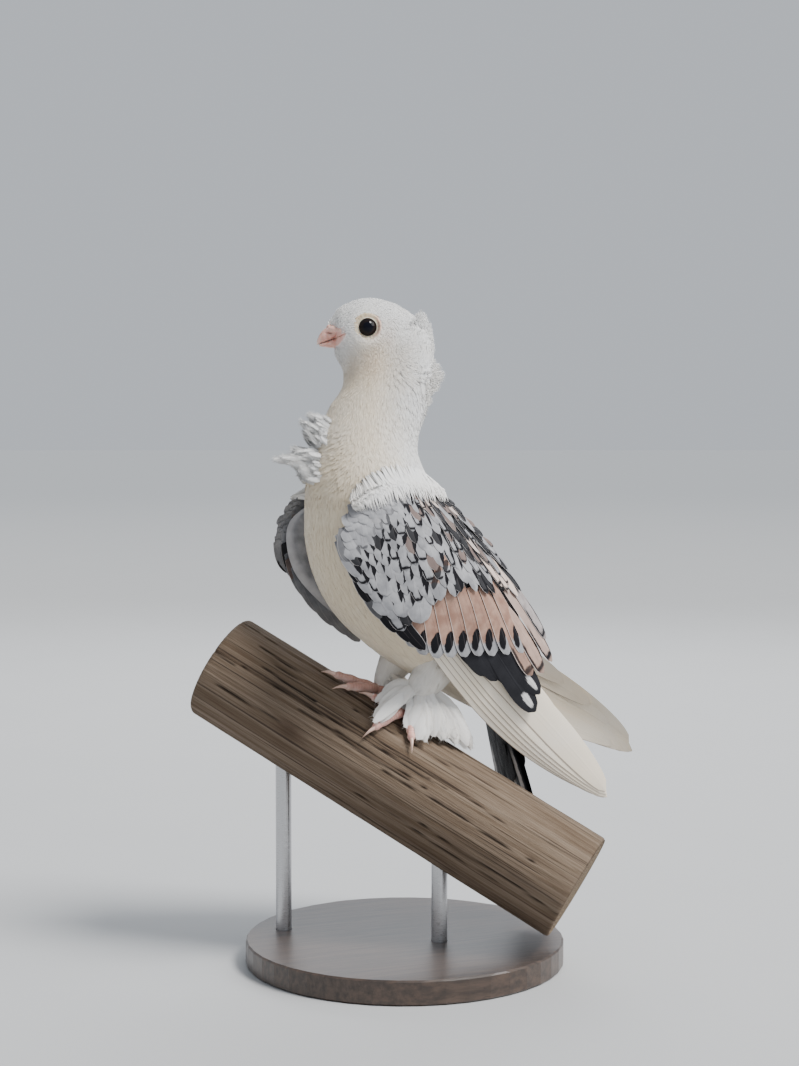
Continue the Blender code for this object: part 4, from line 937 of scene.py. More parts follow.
def scatter(first, last, spacing, chance):
    """Roots over the trunk between two stations, about spacing apart."""
    found_p, found_a = [], []
    p = first
    while p < last:
        angles = np.linspace(0.0, 2.0 * math.pi, 48, endpoint=False)
        ring = trunk_point(np.full(48, p), angles)
        around = np.sum(np.linalg.norm(ring - np.roll(ring, 1, axis=0), axis=1))
        ahead = np.linalg.norm(trunk_point(np.full(48, p + 0.1), angles) - ring, axis=1).mean() * 10.0
        count = max(8, int(around / spacing))
        base = (np.arange(count) + chance.random()) / count * 2.0 * math.pi
        found_a.append(base + chance.normal(0.0, 0.22 * 2.0 * math.pi / count, count))
        found_p.append(p + chance.uniform(-0.5, 0.5, count) * spacing * 0.8 / ahead)
        p += spacing * 0.8 / ahead
    return np.clip(np.concatenate(found_p), FIRST_STATION + 0.05, LAST_STATION - 0.05), np.concatenate(found_a)


def bare_face(points):
    """Where the bill, the cere and the gape leave the face without feathers."""
    back, height, right = head_place(points)
    line = height - mouth_height(back)
    beside = (np.abs(right) < 11.0) & (back < -15.0)
    cere = (back < -20.3 - 0.35 * np.maximum(0.0, line - 1.5)) & (line > -1.2) & (line < 4.3)
    jaw = (back < -17.4 + 1.1 * line) & (line <= -1.0) & (line > -4.2)
    gape = (back < -17.2) & (np.abs(line) < 1.15)
    return beside & (cere | jaw | gape)


def coat(name, first, last, spacing, length, half, seed, material, surface, rows=4, skip_wing=True, share=1.0,
         lift=0.12, sink=0.45):
    """One zone of body feathers, following the lie of the coat."""
    chance = np.random.default_rng(seed)
    p, a = scatter(first, last, spacing, chance)
    points = trunk_point(p, a)
    away, _ = eye_distance(points)
    keep = ring_gap(points) > 0.6
    if skip_wing:
        keep &= ~under_wing(points)
    if share < 1.0:
        keep &= nape_rise(p, a) * (1.0 - share) > 0.7
    heading, stand = lie(p, a, chance)
    part = (p - first) / (last - first)
    size = (length[0] + (length[1] - length[0]) * part) * chance.uniform(0.8, 1.15, len(p))
    size = size * np.where(away < 12.0, 0.6, 1.0)
    _, _, dp, da = trunk(p, a)
    e1, e2 = axes(dp, da)
    way = e1 * np.cos(heading)[:, None] + e2 * np.sin(heading)[:, None]
    bare = bare_face(points)
    for reach in (0.35, 0.7, 1.0):
        ahead = points + way * (size * reach)[:, None]
        bare |= bare_face(ahead) | (ring_gap(ahead) < 0.25)
    keep &= ~bare
    p, a, heading, stand, size, part = (v[keep] for v in (p, a, heading, stand, size, part))
    wide = (half[0] + (half[1] - half[0]) * part) * chance.uniform(0.8, 1.25, len(p))
    grown = 1.0 + 0.05 * nape_rise(p, a)
    tone = body_tone(p, a)
    # The painted shade varies at random from feather to feather
    tone[:, 1] *= chance.uniform(0.3, 1.7, len(p))
    plumage = Plumage()
    lay(plumage, surface, p, a, heading, size * grown, wide * grown, chance, rows=rows,
        lift=lift * chance.uniform(0.3, 1.4, len(p)), flare=stand * 0.3 * chance.uniform(0.5, 1.3, len(p)), sink=sink,
        shape=(0.7, 0.10, 0.35), tone=tone, bow=chance.normal(0.0, 0.05, len(p)) * size, camber=0.10,
        thick=0.025)
    plumage.link(name, material, "white_feather")


def coat_hairs(material):
    """Loose barbs over the face, throat, neck and breast, along the lie of the coat."""
    chance = np.random.default_rng(17)
    plumage = Plumage()
    for first, last, spacing, length in ((-0.7, 9.2, 1.0, 2.6), (9.2, 16.5, 1.5, 4.2), (16.5, 27.5, 2.4, 6.0)):
        p, a = scatter(first, last, spacing, chance)
        points = trunk_point(p, a)
        away, _ = eye_distance(points)
        heading, stand = lie(p, a, chance)
        here, normal, dp, da = plumed(1.0, 0.2)(p, a)
        e1, e2 = axes(dp, da)
        heading = heading + chance.normal(0.0, 0.12, len(p))
        way = e1 * np.cos(heading)[:, None] + e2 * np.sin(heading)[:, None]
        size = length * chance.uniform(0.6, 1.2, len(p))
        keep = (away > 8.2) & ~under_wing(points) & ~bare_face(points) & ~bare_face(points + way * size[:, None])
        here, normal, way, size, p, a, stand = (v[keep] for v in (here, normal, way, size, p, a, stand))
        stop = here + way * size[:, None] + normal * (chance.uniform(-0.15, 0.25, len(p)) + 0.25 * stand)[:, None]
        uv = trunk_uv(p, a)
        plumage.hairs(here - normal * 0.1, stop, chance.uniform(0.05, 0.09, len(p)) * math.sqrt(spacing), normal, uv,
                      TUFT_PATCH, body_tone(p, a), chance)
    plumage.link("coat_barbs", material, "white_feather")


def trunk_uv(p, a):
    """Where a tuft's patch lies on the trunk's unwrap."""
    return joined((p - FIRST_STATION) / (LAST_STATION - FIRST_STATION) * (1.0 - TUFT_PATCH),
                  TRUNK_BAND[0] + TRUNK_BAND[1] * ((a / (2.0 * math.pi)) % 1.0) * (1.0 - TUFT_PATCH))


def build_skin(material):
    """One skin over head, neck, torso and legs, inside them by the coat's depth."""
    p, a = np.meshgrid(np.linspace(FIRST_STATION, LAST_STATION, 190), circle(96), indexing="ij")
    point, normal, _, _ = trunk(p, a)
    away, _ = eye_distance(point)
    depth = 0.32 + 0.33 * smooth(p, 7.0, 13.0) + 2.4 * (1.0 - smooth(away, 4.6, 6.4))
    ends = between(p, FIRST_STATION, FIRST_STATION + 0.3, LAST_STATION - 0.3, LAST_STATION)
    point = trunk_point(p, a) - normal * (depth * (0.3 + 0.7 * ends))[..., None]
    pieces = [plain_piece("skin", tube_mesh("skin", point, body_tone(p, a), skin_uv), material)]
    for index, rows in enumerate((LEG_LEFT, LEG_RIGHT)):
        p, a = np.meshgrid(np.linspace(0.0, 3.0, 26), circle(32), indexing="ij")
        centre = eased(np.array(rows, float), p)[..., :3]
        ring = centre + (limb(rows)[1](p, a) - centre) * 0.86

        def leg_uv(v, u, start=index * 0.5):
            return joined(start + 0.48 * v, LEG_BAND * u)

        mesh = tube_mesh("leg_skin", ring, joined(0.25 + 0.0 * p, 0.0, 0.0), leg_uv)
        pieces.append(plain_piece("leg_skin", mesh, material))
    return united("skin", pieces, "white_feather", "head", "neck", "torso", "leg_left", "leg_right")


def skin_uv(v, u):
    """The trunk's place on the unwrap."""
    return joined(v, TRUNK_BAND[0] + TRUNK_BAND[1] * u)


def tube_mesh(name, rings, tone, to_uv, extra=None):
    """A closed tube of rings with rounded caps of quads and its own unwrap."""
    count, sides = rings.shape[:2]
    points = rings.reshape(-1, 3)
    index = np.arange(count * sides).reshape(count, sides)
    beside = np.roll(index, -1, axis=1)
    faces = np.stack((index[:-1], beside[:-1], beside[1:], index[1:]), -1).reshape(-1, 4)
    v = np.linspace(0.0, 1.0, count)
    k = np.arange(sides)
    shape = (count - 1, sides)
    v0, v1 = np.broadcast_to(v[:-1, None], shape), np.broadcast_to(v[1:, None], shape)
    u0, u1 = np.broadcast_to((k / sides)[None], shape), np.broadcast_to(((k + 1) / sides)[None], shape)
    uv = np.stack((to_uv(v0, u0), to_uv(v0, u1), to_uv(v1, u1), to_uv(v1, u0)), -2).reshape(-1, 2)
    tones = tone.reshape(-1, 3)
    for row, flip in ((0, False), (count - 1, True)):
        ring = index[row]
        centre = len(points)
        middle = rings[row].mean(axis=0)
        points = np.vstack((points, middle[None]))
        tones = np.vstack((tones, tones[ring].mean(axis=0)[None]))
        a, b, c = ring[0::2], np.roll(ring, -1)[0::2], np.roll(ring, -2)[0::2]
        fan = np.stack((np.full(len(a), centre), a, b, c) if flip else (np.full(len(a), centre), c, b, a), -1)
        faces = np.vstack((faces, fan))
        vv = np.full(len(a), v[row])
        inset = vv + (0.002 if row == 0 else -0.002)
        uu = k[0::2] / sides
        order = ((inset, uu + 0.5 / sides), (vv, uu), (vv, uu + 1.0 / sides), (vv, uu + 2.0 / sides))
        if not flip:
            order = (order[0], order[3], order[2], order[1])
        uv = np.vstack((uv, np.stack([to_uv(*pair) for pair in order], -2).reshape(-1, 2)))
    first = points[faces[0]]
    direction = np.cross(first[1] - first[0], first[3] - first[0])
    if np.dot(direction, first[0] - rings[0].mean(axis=0)) < 0.0:
        faces = faces[:, ::-1]
        uv = uv.reshape(-1, 4, 2)[:, ::-1].reshape(-1, 2)
    vectors = {"tone": tones}
    for key, values in (extra or {}).items():
        flat = values.reshape(-1, 3)
        vectors[key] = np.vstack((flat, flat[index[0]].mean(axis=0), flat[index[-1]].mean(axis=0)))
    return solid(name, points, faces, uv, vectors)


def square_uv(v, u):
    """A tube unwrapped over the whole square."""
    return joined(0.01 + 0.98 * u, 0.01 + 0.98 * v)



def wavering(points, scale, seed):
    """Smooth noise at points, from -1 to 1."""
    flat = points.reshape(-1, 3) * scale + seed
    return np.array([noise.noise(Vector(q)) for q in flat]).reshape(points.shape[:-1])


def build_bill(material):
    """Both halves of the bill, with the cere's swelling, the nostrils and the mouth line."""
    made = []
    for name, table, upper in (("bill_upper", BILL_UPPER, True), ("bill_lower", BILL_LOWER, False)):
        places = np.linspace(0.0, len(table) - 1.0, 56)
        middle, high, low, wide = (column[:, None] for column in eased(np.array(table), places).T)
        angle = circle(48)
        u = middle + 0.0 * angle
        cos, sin = np.cos(angle)[None], np.sin(angle)[None]
        v = wide * np.sign(sin) * np.abs(sin) ** 0.85
        top = high + (0.0 if upper else 0.16)
        low = low - (0.12 if upper else 0.0)
        z = 0.5 * (top + low) + 0.5 * (top - low) * cos
        share = (places / places[-1])[:, None]
        tone = np.zeros((*u.shape, 3))
        tone[..., 0] = smooth(share, 0.7, 1.0)
        if upper:
            swell = np.exp(-(((u + 24.2) / 2.7) ** 2) - ((z - 192.9) / 1.7) ** 2)
            groove = np.exp(-(((u + 27.4) / 0.8) ** 2))
            v = v * (1.0 + 0.34 * swell) - 0.10 * groove * np.sign(v)
            brow = 0.5 * np.exp(-(((u + 24.2) / 2.8) ** 2)) * (np.abs(v) > 0.4)
            z = z + brow * np.clip(cos, 0.0, 1.0) * np.abs(sin) * 2.0
            slot = np.exp(-(((u + 25.6) / 1.9) ** 2) - ((z - 190.55 + 0.12 * (u + 25.6)) / 0.42) ** 2)
            v = v * (1.0 - 0.26 * slot)
            # Painted shade in the nostril's slit, which the groove also narrows
            tone[..., 1] = np.clip(1.3 * slot - 0.25, 0.0, 1.0) * 0.8
            tone[..., 2] = 0.8 * swell
        # Painted shade along the mouth line, where the two halves meet
        mouth = 0.85 * smooth(-cos if upper else cos, 0.86, 0.99) * (1.0 - smooth(share, 0.9, 1.0))
        tone[..., 1] = np.maximum(tone[..., 1], mouth)
        points = turned(u, v, z, HEAD_TURN)
        points = points + 0.05 * wavering(points, 0.9, 3.0)[..., None]
        item = link(name + "_horn", tube_mesh(name, points, tone, square_uv), material)
        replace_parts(item, name)
        made.append(item)
    return made


def build_gape(skin, material):
    """Thin lips along the mouth line, from the bill back to the gape."""
    tree = tree_of(skin)
    angle = circle(14)
    back, share = np.linspace(-24.2, -18.0, 30), np.linspace(0.0, 1.0, 30)
    for side, name in SIDES:
        out = head_way(0.0, side, 0.0)
        parts = []
        for offset, thick in ((0.42, 0.42), (-0.44, 0.36)):
            line = turned(back, side * 3.0, mouth_height(back) + offset * (1.0 - 0.75 * share ** 2), HEAD_TURN)
            path = np.array([hit_or(tree, spot, out) for spot in line]) + out * 0.12
            top = unit(np.cross(unit(np.gradient(path, axis=0)), out))
            radius = thick * np.sqrt(np.clip(1.02 - share, 0.02, 1.0))
            rings = path[:, None] + (top[:, None] * np.cos(angle)[None, :, None]
                                     + out * np.sin(angle)[None, :, None]) * radius[:, None, None]
            inner = -np.cos(angle) * np.sign(np.mean(top[:, 2])) * np.sign(offset)
            # Painted shade on the lips' inner sides, towards the mouth line
            tone = joined(0.0, 0.8 * smooth(inner, 0.35, 0.9), np.zeros((30, 14)))
            parts.append(plain_piece("lip", tube_mesh("lip", rings, tone, square_uv), material))
        united("gape_" + name, parts, "bill_horn")


def hit_or(tree, spot, out):
    """The point of a surface over a spot, or else the spot."""
    hit, _, _, _ = tree.ray_cast(Vector((spot + out * 12.0 + SHIFT) * MM), Vector(-out))
    return spot if hit is None else np.array(hit) / MM - SHIFT


def build_cere(bases, material):
    """The swollen lobe of soft skin behind each nostril."""
    trees = [tree_of(base) for base in bases]
    lean = math.radians(24.0)
    around = circle(48)
    for side, name in SIDES:
        out = head_way(0.0, side, 0.0)
        rings, tone = [], []
        for radius, height in ((0.03, 0.62), (0.2, 0.60), (0.4, 0.53), (0.6, 0.42), (0.76, 0.29), (0.88, 0.15),
                               (0.96, 0.0), (1.02, -0.3), (0.9, -1.1), (0.5, -1.3), (0.05, -1.3)):
            along = 3.9 * radius * np.cos(around)
            across = (1.75 - 0.35 * np.cos(around)) * radius * np.sin(around)
            u = -23.2 + along * math.cos(lean) + across * math.sin(lean)
            z = 192.5 - along * math.sin(lean) + across * math.cos(lean)
            ring = []
            for spot in turned(u, side * 3.0, z, HEAD_TURN):
                levels = [level for level in (cast(tree, spot, out, 14.0) for tree in trees) if level is not None]
                ring.append(spot + out * max(levels, default=0.0))
            rings.append(np.array(ring) + out * height)
            # A little painted shade round the lobe's edge, and chalk paler towards its middle
            tone.append(np.tile((0.0, 0.10 * smooth(radius, 0.85, 1.0), 0.55 * (1.0 - radius * 0.6)), (48, 1)))
        rings = np.array(rings)
        for _ in range(3):
            rings = 0.5 * rings + 0.25 * (np.roll(rings, 1, axis=1) + np.roll(rings, -1, axis=1))
        link("cere_" + name, tube_mesh("cere", rings, np.array(tone), square_uv), material)


def tree_of(item):
    """A search tree over a piece, for setting others on it."""
    bm = bmesh.new()
    bm.from_mesh(item.data)
    tree = BVHTree.FromBMesh(bm)
    bm.free()
    return tree


def cast(tree, spot, out, above):
    """How far out from a spot a tree's surface lies, seen from above it; None where it misses."""
    hit, _, _, _ = tree.ray_cast(Vector((spot + out * above + SHIFT) * MM), Vector(-out))
    return None if hit is None else float(np.dot(np.array(hit) / MM - SHIFT - spot, out))


def build_eyes(skin, glass, lids):
    """Eyeballs, and a ring of lid and bare skin round each."""
    tree = tree_of(skin)
    back = head_way(1.0, 0.0, 0.0)
    polar = np.linspace(0.04, math.pi - 0.04, 34)[:, None]
    around = circle(48)[None]
    bulge = EYE_RADIUS * (1.0 + 0.035 * np.exp(-(polar / 0.55) ** 2))
    spoke = back * np.cos(around)[..., None] + UP * np.sin(around)[..., None]
    for side, name in SIDES:
        out = head_way(0.0, side, 0.0)
        centre = turned(EYE_PLACE[0], side * EYE_DEPTH, EYE_PLACE[1], HEAD_TURN)
        rings = centre + (out * np.cos(polar)[..., None] + 0.0 * around[..., None]) * bulge[..., None]
        rings = rings + spoke * (np.sin(polar) * bulge)[..., None]
        tone = joined(np.sin(polar) * (polar < 1.57) + (polar >= 1.57), 0.0 * around, 0.0)
        item = link("eye_" + name + "_ball", tube_mesh("eye", rings, tone, square_uv), glass)
        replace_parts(item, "eye_" + name)
        build_ring(name, centre, out, back, tree, lids)


def build_ring(name, centre, out, back, tree, material):
    """The lid's rim on the eyeball and the ring of bare skin outside it."""
    sides = 120
    radii = (4.15, 4.20, 4.28, 4.40, 4.54, 4.72, 4.95, 5.2, 5.5, 5.85, 6.2, 6.6, 7.0, 7.5, 7.3, 4.7)
    heights = (-0.7, -0.2, 0.06, 0.16, 0.14, -0.02, -0.10, 0.02, 0.10, 0.10, 0.04, 0.0, -0.12, -0.6, -1.3, -1.6)
    rim_level = math.sqrt(EYE_RADIUS ** 2 - 4.28 ** 2) + 0.12
    wrinkle = np.random.default_rng(5).normal(0.0, 1.0, sides)
    wrinkle = np.convolve(np.tile(wrinkle, 3), (0.25, 0.5, 0.25), "same")[sides:2 * sides]
    rings = np.zeros((len(radii), sides, 3))
    tone = np.zeros((len(radii), sides, 3))
    for k, angle in enumerate(circle(sides)):
        spoke = back * math.cos(angle) + UP * math.sin(angle)
        ahead = 0.5 - 0.5 * math.cos(angle)
        above = 0.5 + 0.5 * math.sin(angle)
        for i, (radius, height) in enumerate(zip(radii, heights)):
            reach = radius + smooth(radius, 4.6, 6.0) * (0.95 * above + 0.45 * ahead - 1.15)
            level = rim_level
            hit, _, _, _ = tree.ray_cast(Vector((centre + spoke * reach + out * 12.0 + SHIFT) * MM), Vector(-out))
            if hit is not None:
                on_skin = float(np.dot(np.array(hit) / MM - SHIFT - centre, out))
                share = float(smooth(radius, 4.6, 7.0))
                level = rim_level * (1.0 - share) + (on_skin + 0.5) * share
            fold = 0.10 * wrinkle[k] * float(smooth(radius, 4.5, 5.0)) * (1.0 - float(smooth(radius, 6.4, 7.0)))
            rings[i, k] = centre + spoke * reach + out * (level + height + fold)
            rim = (1.0 - float(smooth(radius, 4.36, 4.60))) * 0.92
            tone[i, k] = (max(rim, 0.35 * math.exp(-((radius - 6.1) / 0.25) ** 2)),
                          0.5 * float(smooth(math.cos(angle), 0.2, 1.0)) * float(smooth(radius, 5.0, 6.2)),
                          0.55 * above * float(smooth(radius, 4.7, 5.4)))
    link("lid_" + name, ring_mesh("lid", rings, tone), material)


def ring_mesh(name, rings, tone):
    """A closed ring: its profile loops round as well."""
    count, sides = rings.shape[:2]
    index = np.arange(count * sides).reshape(count, sides)
    beside = np.roll(index, -1, axis=1)
    faces = joined(index, beside, np.roll(beside, -1, axis=0), np.roll(index, -1, axis=0)).reshape(-1, 4)
    v0, u0 = np.meshgrid(np.arange(count) / count, np.arange(sides) / sides, indexing="ij")
    v1, u1 = v0 + 1.0 / count, u0 + 1.0 / sides
    uv = np.stack((square_uv(v0, u0), square_uv(v0, u1), square_uv(v1, u1), square_uv(v1, u0)), -2).reshape(-1, 2)
    points = rings.reshape(-1, 3)
    corners = points[faces]
    normal = np.cross(corners[:, 1] - corners[:, 0], corners[:, 3] - corners[:, 0])
    away = corners.mean(axis=1) - np.repeat(rings.mean(axis=0)[None], count, axis=0).reshape(-1, 3)
    if np.sum(normal * away) < 0.0:
        faces = faces[:, ::-1]
        uv = uv.reshape(-1, 4, 2)[:, ::-1].reshape(-1, 2)
    return solid(name, points, faces, uv, {"tone": tone.reshape(-1, 3)})


def eye_fringe(material):
    """Small feathers lying round the bare ring of each eye."""
    chance = np.random.default_rng(21)
    p, a = scatter(1.0, 8.5, 0.75, chance)
    points = trunk_point(p, a)
    away, _ = eye_distance(points)
    keep = (ring_gap(points) > 0.45) & (away < 10.5) & ~bare_face(points)
    p, a, points, away = p[keep], a[keep], points[keep], away[keep]
    heading, _ = lie(p, a, chance)
    surface_point, _, dp, da = trunk(p, a)
    axis = head_way(0.0, 1.0, 0.0)
    offset = surface_point - turned(EYE_PLACE[0], 0.0, EYE_PLACE[1], HEAD_TURN)
    radial = unit(offset - np.sum(offset * axis, -1, keepdims=True) * axis)
    e1, e2 = axes(dp, da)
    outward = np.arctan2(np.sum(radial * e2, -1), np.sum(radial * e1, -1))
    share = 0.62 * (1.0 - smooth(away, 7.0, 10.5))
    x = np.cos(heading) * (1.0 - share) + np.cos(outward) * share
    y = np.sin(heading) * (1.0 - share) + np.sin(outward) * share
    way = unit(joined(x, y))
    clear = ring_gap(points + (e1 * way[:, :1] + e2 * way[:, 1:]) * 2.0) > 0.2
    p, a, x, y, radial = p[clear], a[clear], x[clear], y[clear], radial[clear]
    tone = body_tone(p, a)
    # Pinker behind the eye and below it
    tone[:, 2] = 0.16 * smooth(np.sum(radial * head_way(1.0, 0.0, -0.6), -1), 0.2, 0.9)
    plumage = Plumage()
    lay(plumage, trunk, p, a, np.arctan2(y, x), chance.uniform(1.6, 2.6, len(p)), 0.42, chance, rows=4,
        lift=0.15, sink=0.5, shape=(0.7, 0.15, 0.4), tone=tone, thick=0.1)
    plumage.link("coat_eye", material, "white_feather")


def build_tufts(material):
    """Crest, mane and frill: free feathers with loose barbs, to the tips of their tufts."""
    chance = np.random.default_rng(31)
    crest, mane, frill = Plumage(), Plumage(), Plumage()
    # The crest's point and the edge below it
    n = 300
    a = chance.normal(0.0, 0.36, n)
    p = chance.uniform(8.0, 10.2, n)
    end = np.interp(p, (8.0, 8.8, 10.2), (7.50, 7.9, 9.3)) + chance.normal(0.0, 0.08, n)
    more = np.interp(end, (7.4, 7.8, 8.6, 9.6), (5.6, 4.4, 1.4, 0.8))
    tufted(crest, p, a, end, more, chance, (0.03, 0, 0))
    # The mane parts from the crest and turns down
    n = 330
    a = chance.normal(0.0, 0.38, n)
    p = chance.uniform(9.9, 12.6, n)
    end = np.interp(p, (9.9, 10.6, 11.4, 12.2, 12.6), (9.9, 10.5, 11.3, 12.6, 13.2)) + chance.normal(0.0, 0.10, n)
    more = np.interp(p, (9.9, 10.5, 10.9, 11.5, 12.2, 12.6), (1.2, 5.6, 5.0, 2.4, 1.0, 0.5))
    tufted(mane, p, a, end, more, chance, (0.08, 0, 0))
    # The frill's upper curls: place on the trunk, tip (u, z), spread, count
    for place, tip, spread, count in ((12.1, (-36.6, 150.7), 0.55, 80), (12.7, (-40.2, 146.8), 0.55, 80),
                                      (13.2, (-39.0, 142.4), 0.55, 70)):
        gathered(frill, place, tip, spread, 1.5, count, chance, (0.9, 1.5), (0.06, 0.0, 0))
    # Its long lower lock and the small ones beneath, with their looseness
    for place, tip, spread, count, loose in (
            (14.0, (-55.0, 128.3), 0.26, 70, 1.2), (14.2, (-51.0, 129.5), 0.32, 76, 1.6),
            (14.1, (-45.5, 133.5), 0.42, 76, 1.8), (14.7, (-47.2, 126.6), 0.38, 70, 1.6),
            (15.1, (-42.6, 121.4), 0.42, 70, 1.6)):
        gathered(frill, place, tip, spread, loose, count, chance, (1.0, 1.7), (0.02, 0.0, 0))
    for name, tuft in (("crest", crest), ("mane", mane), ("frill", frill)):
        tuft.link(name + "_feathers", material, "white_feather")


def tufted(plumage, p, a, end, more, chance, tone):
    """Feathers of the nape, from the trunk to tips that stand off its plumage."""
    rise = more * np.exp(-(a / 0.5) ** 2) * chance.uniform(0.3, 1.03, len(p))
    tip, normal, _, _ = plumed(1.0)(end, a)
    tip = tip + normal * rise[:, None]
    point, outward, _, _ = trunk(p, a)
    raised, _, _, _ = plumed(0.55)(p, a)
    facing = unit(outward + 1.2 * (RIGHT * np.sign(a)[:, None]))
    middle = 0.45 * raised + 0.55 * tip + outward * (0.20 * rise)[:, None]
    free(plumage, p, a, point - outward * 0.8, middle, tip, facing, chance, (0.5, 0.9), tone)


def gathered(plumage, place, tip, spread, loose, count, chance, half, tone):
    """Feathers of the frill drawn together towards a tip, given as (u, z) at the middle."""
    a = math.pi + spread * 0.5 * np.clip(chance.normal(0.0, 1.0, count), -2.0, 2.0)
    p = place + 0.275 * np.clip(chance.normal(0.0, 1.0, count), -1.7, 1.7)
    turn = float(eased(TRUNK, np.array(place - FIRST_STATION))[5])
    middle = turned(tip[0], 0.0, tip[1], turn)
    point, normal, _, _ = trunk(p, a)
    start, _, _, _ = trunk(p, np.full(count, math.pi))
    core, _, _, _ = trunk(np.array(place), np.array(math.pi))
    axis = unit(middle - core)
    aside = point - start
    share = np.clip(np.abs(a - math.pi) / (spread * 1.2), 0.0, 1.0)[:, None]
    short = chance.uniform(0.34, 1.03, count)[:, None] * (1.0 - 0.5 * share ** 2)
    end = point + (middle + aside * 0.55 - point) * short + chance.normal(0.0, loose * 0.5, (count, 3))
    offset = point - core + chance.normal(0.0, 0.8, (count, 3))
    facing = unit(offset - np.sum(offset * axis, -1, keepdims=True) * axis)
    bend = 0.5 * (point + end) + facing * chance.uniform(0.3, 1.5, count)[:, None]
    slim = 1.0 - 0.12 * share[:, 0]
    free(plumage, p, a, point - normal * 3.0, bend, end, facing, chance, (half[0] * slim, half[1] * slim), tone)


def free(plumage, p, a, root, bend, tip, facing, chance, half, tone):
    """Free feathers curved to their tips, their outer faces turned to facing."""
    count = len(p)
    side = unit(np.cross(unit(tip - root), facing) + chance.normal(0.0, 0.14, tip.shape))
    shade = np.broadcast_to(np.array(tone, float), (count, 3)) * chance.uniform(0.5, 1.5, (count, 1))
    sweep(plumage, root, bend, tip, side, chance.uniform(*half, count), chance, rows=8, columns=3,
          shape=(0.10, 0.14, 0.6), camber=0.07, thick=0.02, ragged=0.30, uv_root=trunk_uv(p, a), tone=shade, fringe=24,
          fringe_reach=1.5)


# Wings

def cell_uv(count, grid):
    """Corners and size of cells in a square atlas, one for each feather."""
    k = np.arange(count)
    margin = 0.08 / grid
    return joined(k % grid, k // grid) / grid + margin, 1.0 / grid - 2.0 * margin


def rooted(tips, heading, length):
    """The roots of feathers, from their tips, headings and lengths."""
    return tips - joined(np.cos(heading), np.sin(heading)) * np.reshape(length, (-1, 1))


def vanes(plumage, surface, tips, heading, length, half, chance, side, depth, cells, **details):
    """Wing feathers from their tips, then moved inwards by their depths."""
    roots = rooted(tips, heading, length)
    lay(plumage, surface, roots[:, 0], roots[:, 1], heading, length, half, chance, rows=24, columns=9, sink=0.0,
        lift=0.0, camber=0.04, thick=0.2, uv_root=cells[0], patch=cells[1], **details)
    sunk(plumage, side, depth)


def sunk(plumage, side, depth):
    """Move the feathers that were added last inwards, each by its depth."""
    block = plumage.points[-1]
    each = np.repeat(depth, len(block) // len(depth))
    plumage.points[-1] = block - side * RIGHT * each[:, None]


def build_wing(side, name, shield_material, flight_material, tail_material):
    """A folded wing's bed, covers and flight feathers."""
    chance = np.random.default_rng(101 if side < 0 else 102)
    build_bed(name, side, shield_material)
    build_covers(name, side, wing(side), chance, shield_material)
    build_flight(name, side, RAISED_RIGHT if side > 0 else (0.0, 0.0, 0.0), chance, shield_material,
                 flight_material, tail_material)


def shield_edges(share, side):
    """Lower and upper edge of the shield at shares of its length."""
    last = len(SHIELD_LOWER) - 1
    low, high = eased(SHIELD_LOWER, share * last), eased(SHIELD_UPPER, share * last)
    if side > 0.0:
        low = low - np.array((0.2, 1.0)) * SHIELD_FULLER_RIGHT * np.sin(math.pi * share)[..., None]
    return low, high


def build_bed(name, side, material):
    """The arm under the covers, a curved pad between the shield's edges."""
    rows, columns = 40, 26
    share, f = np.meshgrid(np.linspace(0.0, 1.0, rows), np.linspace(0.0, 1.0, columns), indexing="ij")
    low, high = shield_edges(share, side)
    st = low * (1.0 - f[..., None]) + high * f[..., None]
    point, normal, _, _ = wing(side)(st[..., 0], st[..., 1])
    rim = np.minimum(1.0, 3.2 * np.minimum(f, 1.0 - f) + 0.10)
    nose = np.minimum(1.0, 3.0 * share + 0.12)
    round_off = np.sqrt(np.minimum(rim, nose))
    top = point - normal * (3.9 + 1.8 * (1.0 - round_off))[..., None]
    bottom = top - normal * (9.0 * round_off)[..., None]
    bottom[[0, -1]] = top[[0, -1]]
    bottom[:, [0, -1]] = top[:, [0, -1]]
    plumage = Plumage()
    plumage.add(top[None], bottom[None], normal[rows // 2, columns // 2][None], np.array([[0.01, 0.01]]), 0.98,
                (0.0, 0.25, 0.0), (0.0, 0.0, 0.0), np.random.default_rng(3))
    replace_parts(plumage.link("wing_" + name + "_bed", material, "shield_feather"), "wing_" + name)


def cover_tip(share, f, side):
    """Where a cover's tip lies: share runs from the wrist to the bronze band, f from lower to upper edge."""
    low, _ = shield_edges(0.85 * share, side)
    _, high = shield_edges(0.97 * share, side)
    st = low * (1.0 - f[..., None]) + high * f[..., None]
    st[..., 0] -= 17.0 * share * np.sin(math.pi * f)
    return st


def within_shield(tip, heading, length):
    """Shorten covers whose roots would pass the shield's front or upper edge."""
    kept = np.zeros(len(tip))
    inside = np.ones(len(tip), bool)
    for share in np.linspace(0.0, 1.0, 21):
        reach = share * length
        s = tip[:, 0] - np.cos(heading) * reach
        t = tip[:, 1] - np.sin(heading) * reach
        top = np.interp(s, SHIELD_UPPER[:, 0], SHIELD_UPPER[:, 1])
        front = np.interp(t, (2.0, 14.0, 41.0), (-1.5, 0.0, 13.0))
        inside &= (t < top + 0.5) & (s > front)
        kept = np.where(inside, reach, kept)
    return np.maximum(kept, 6.0)


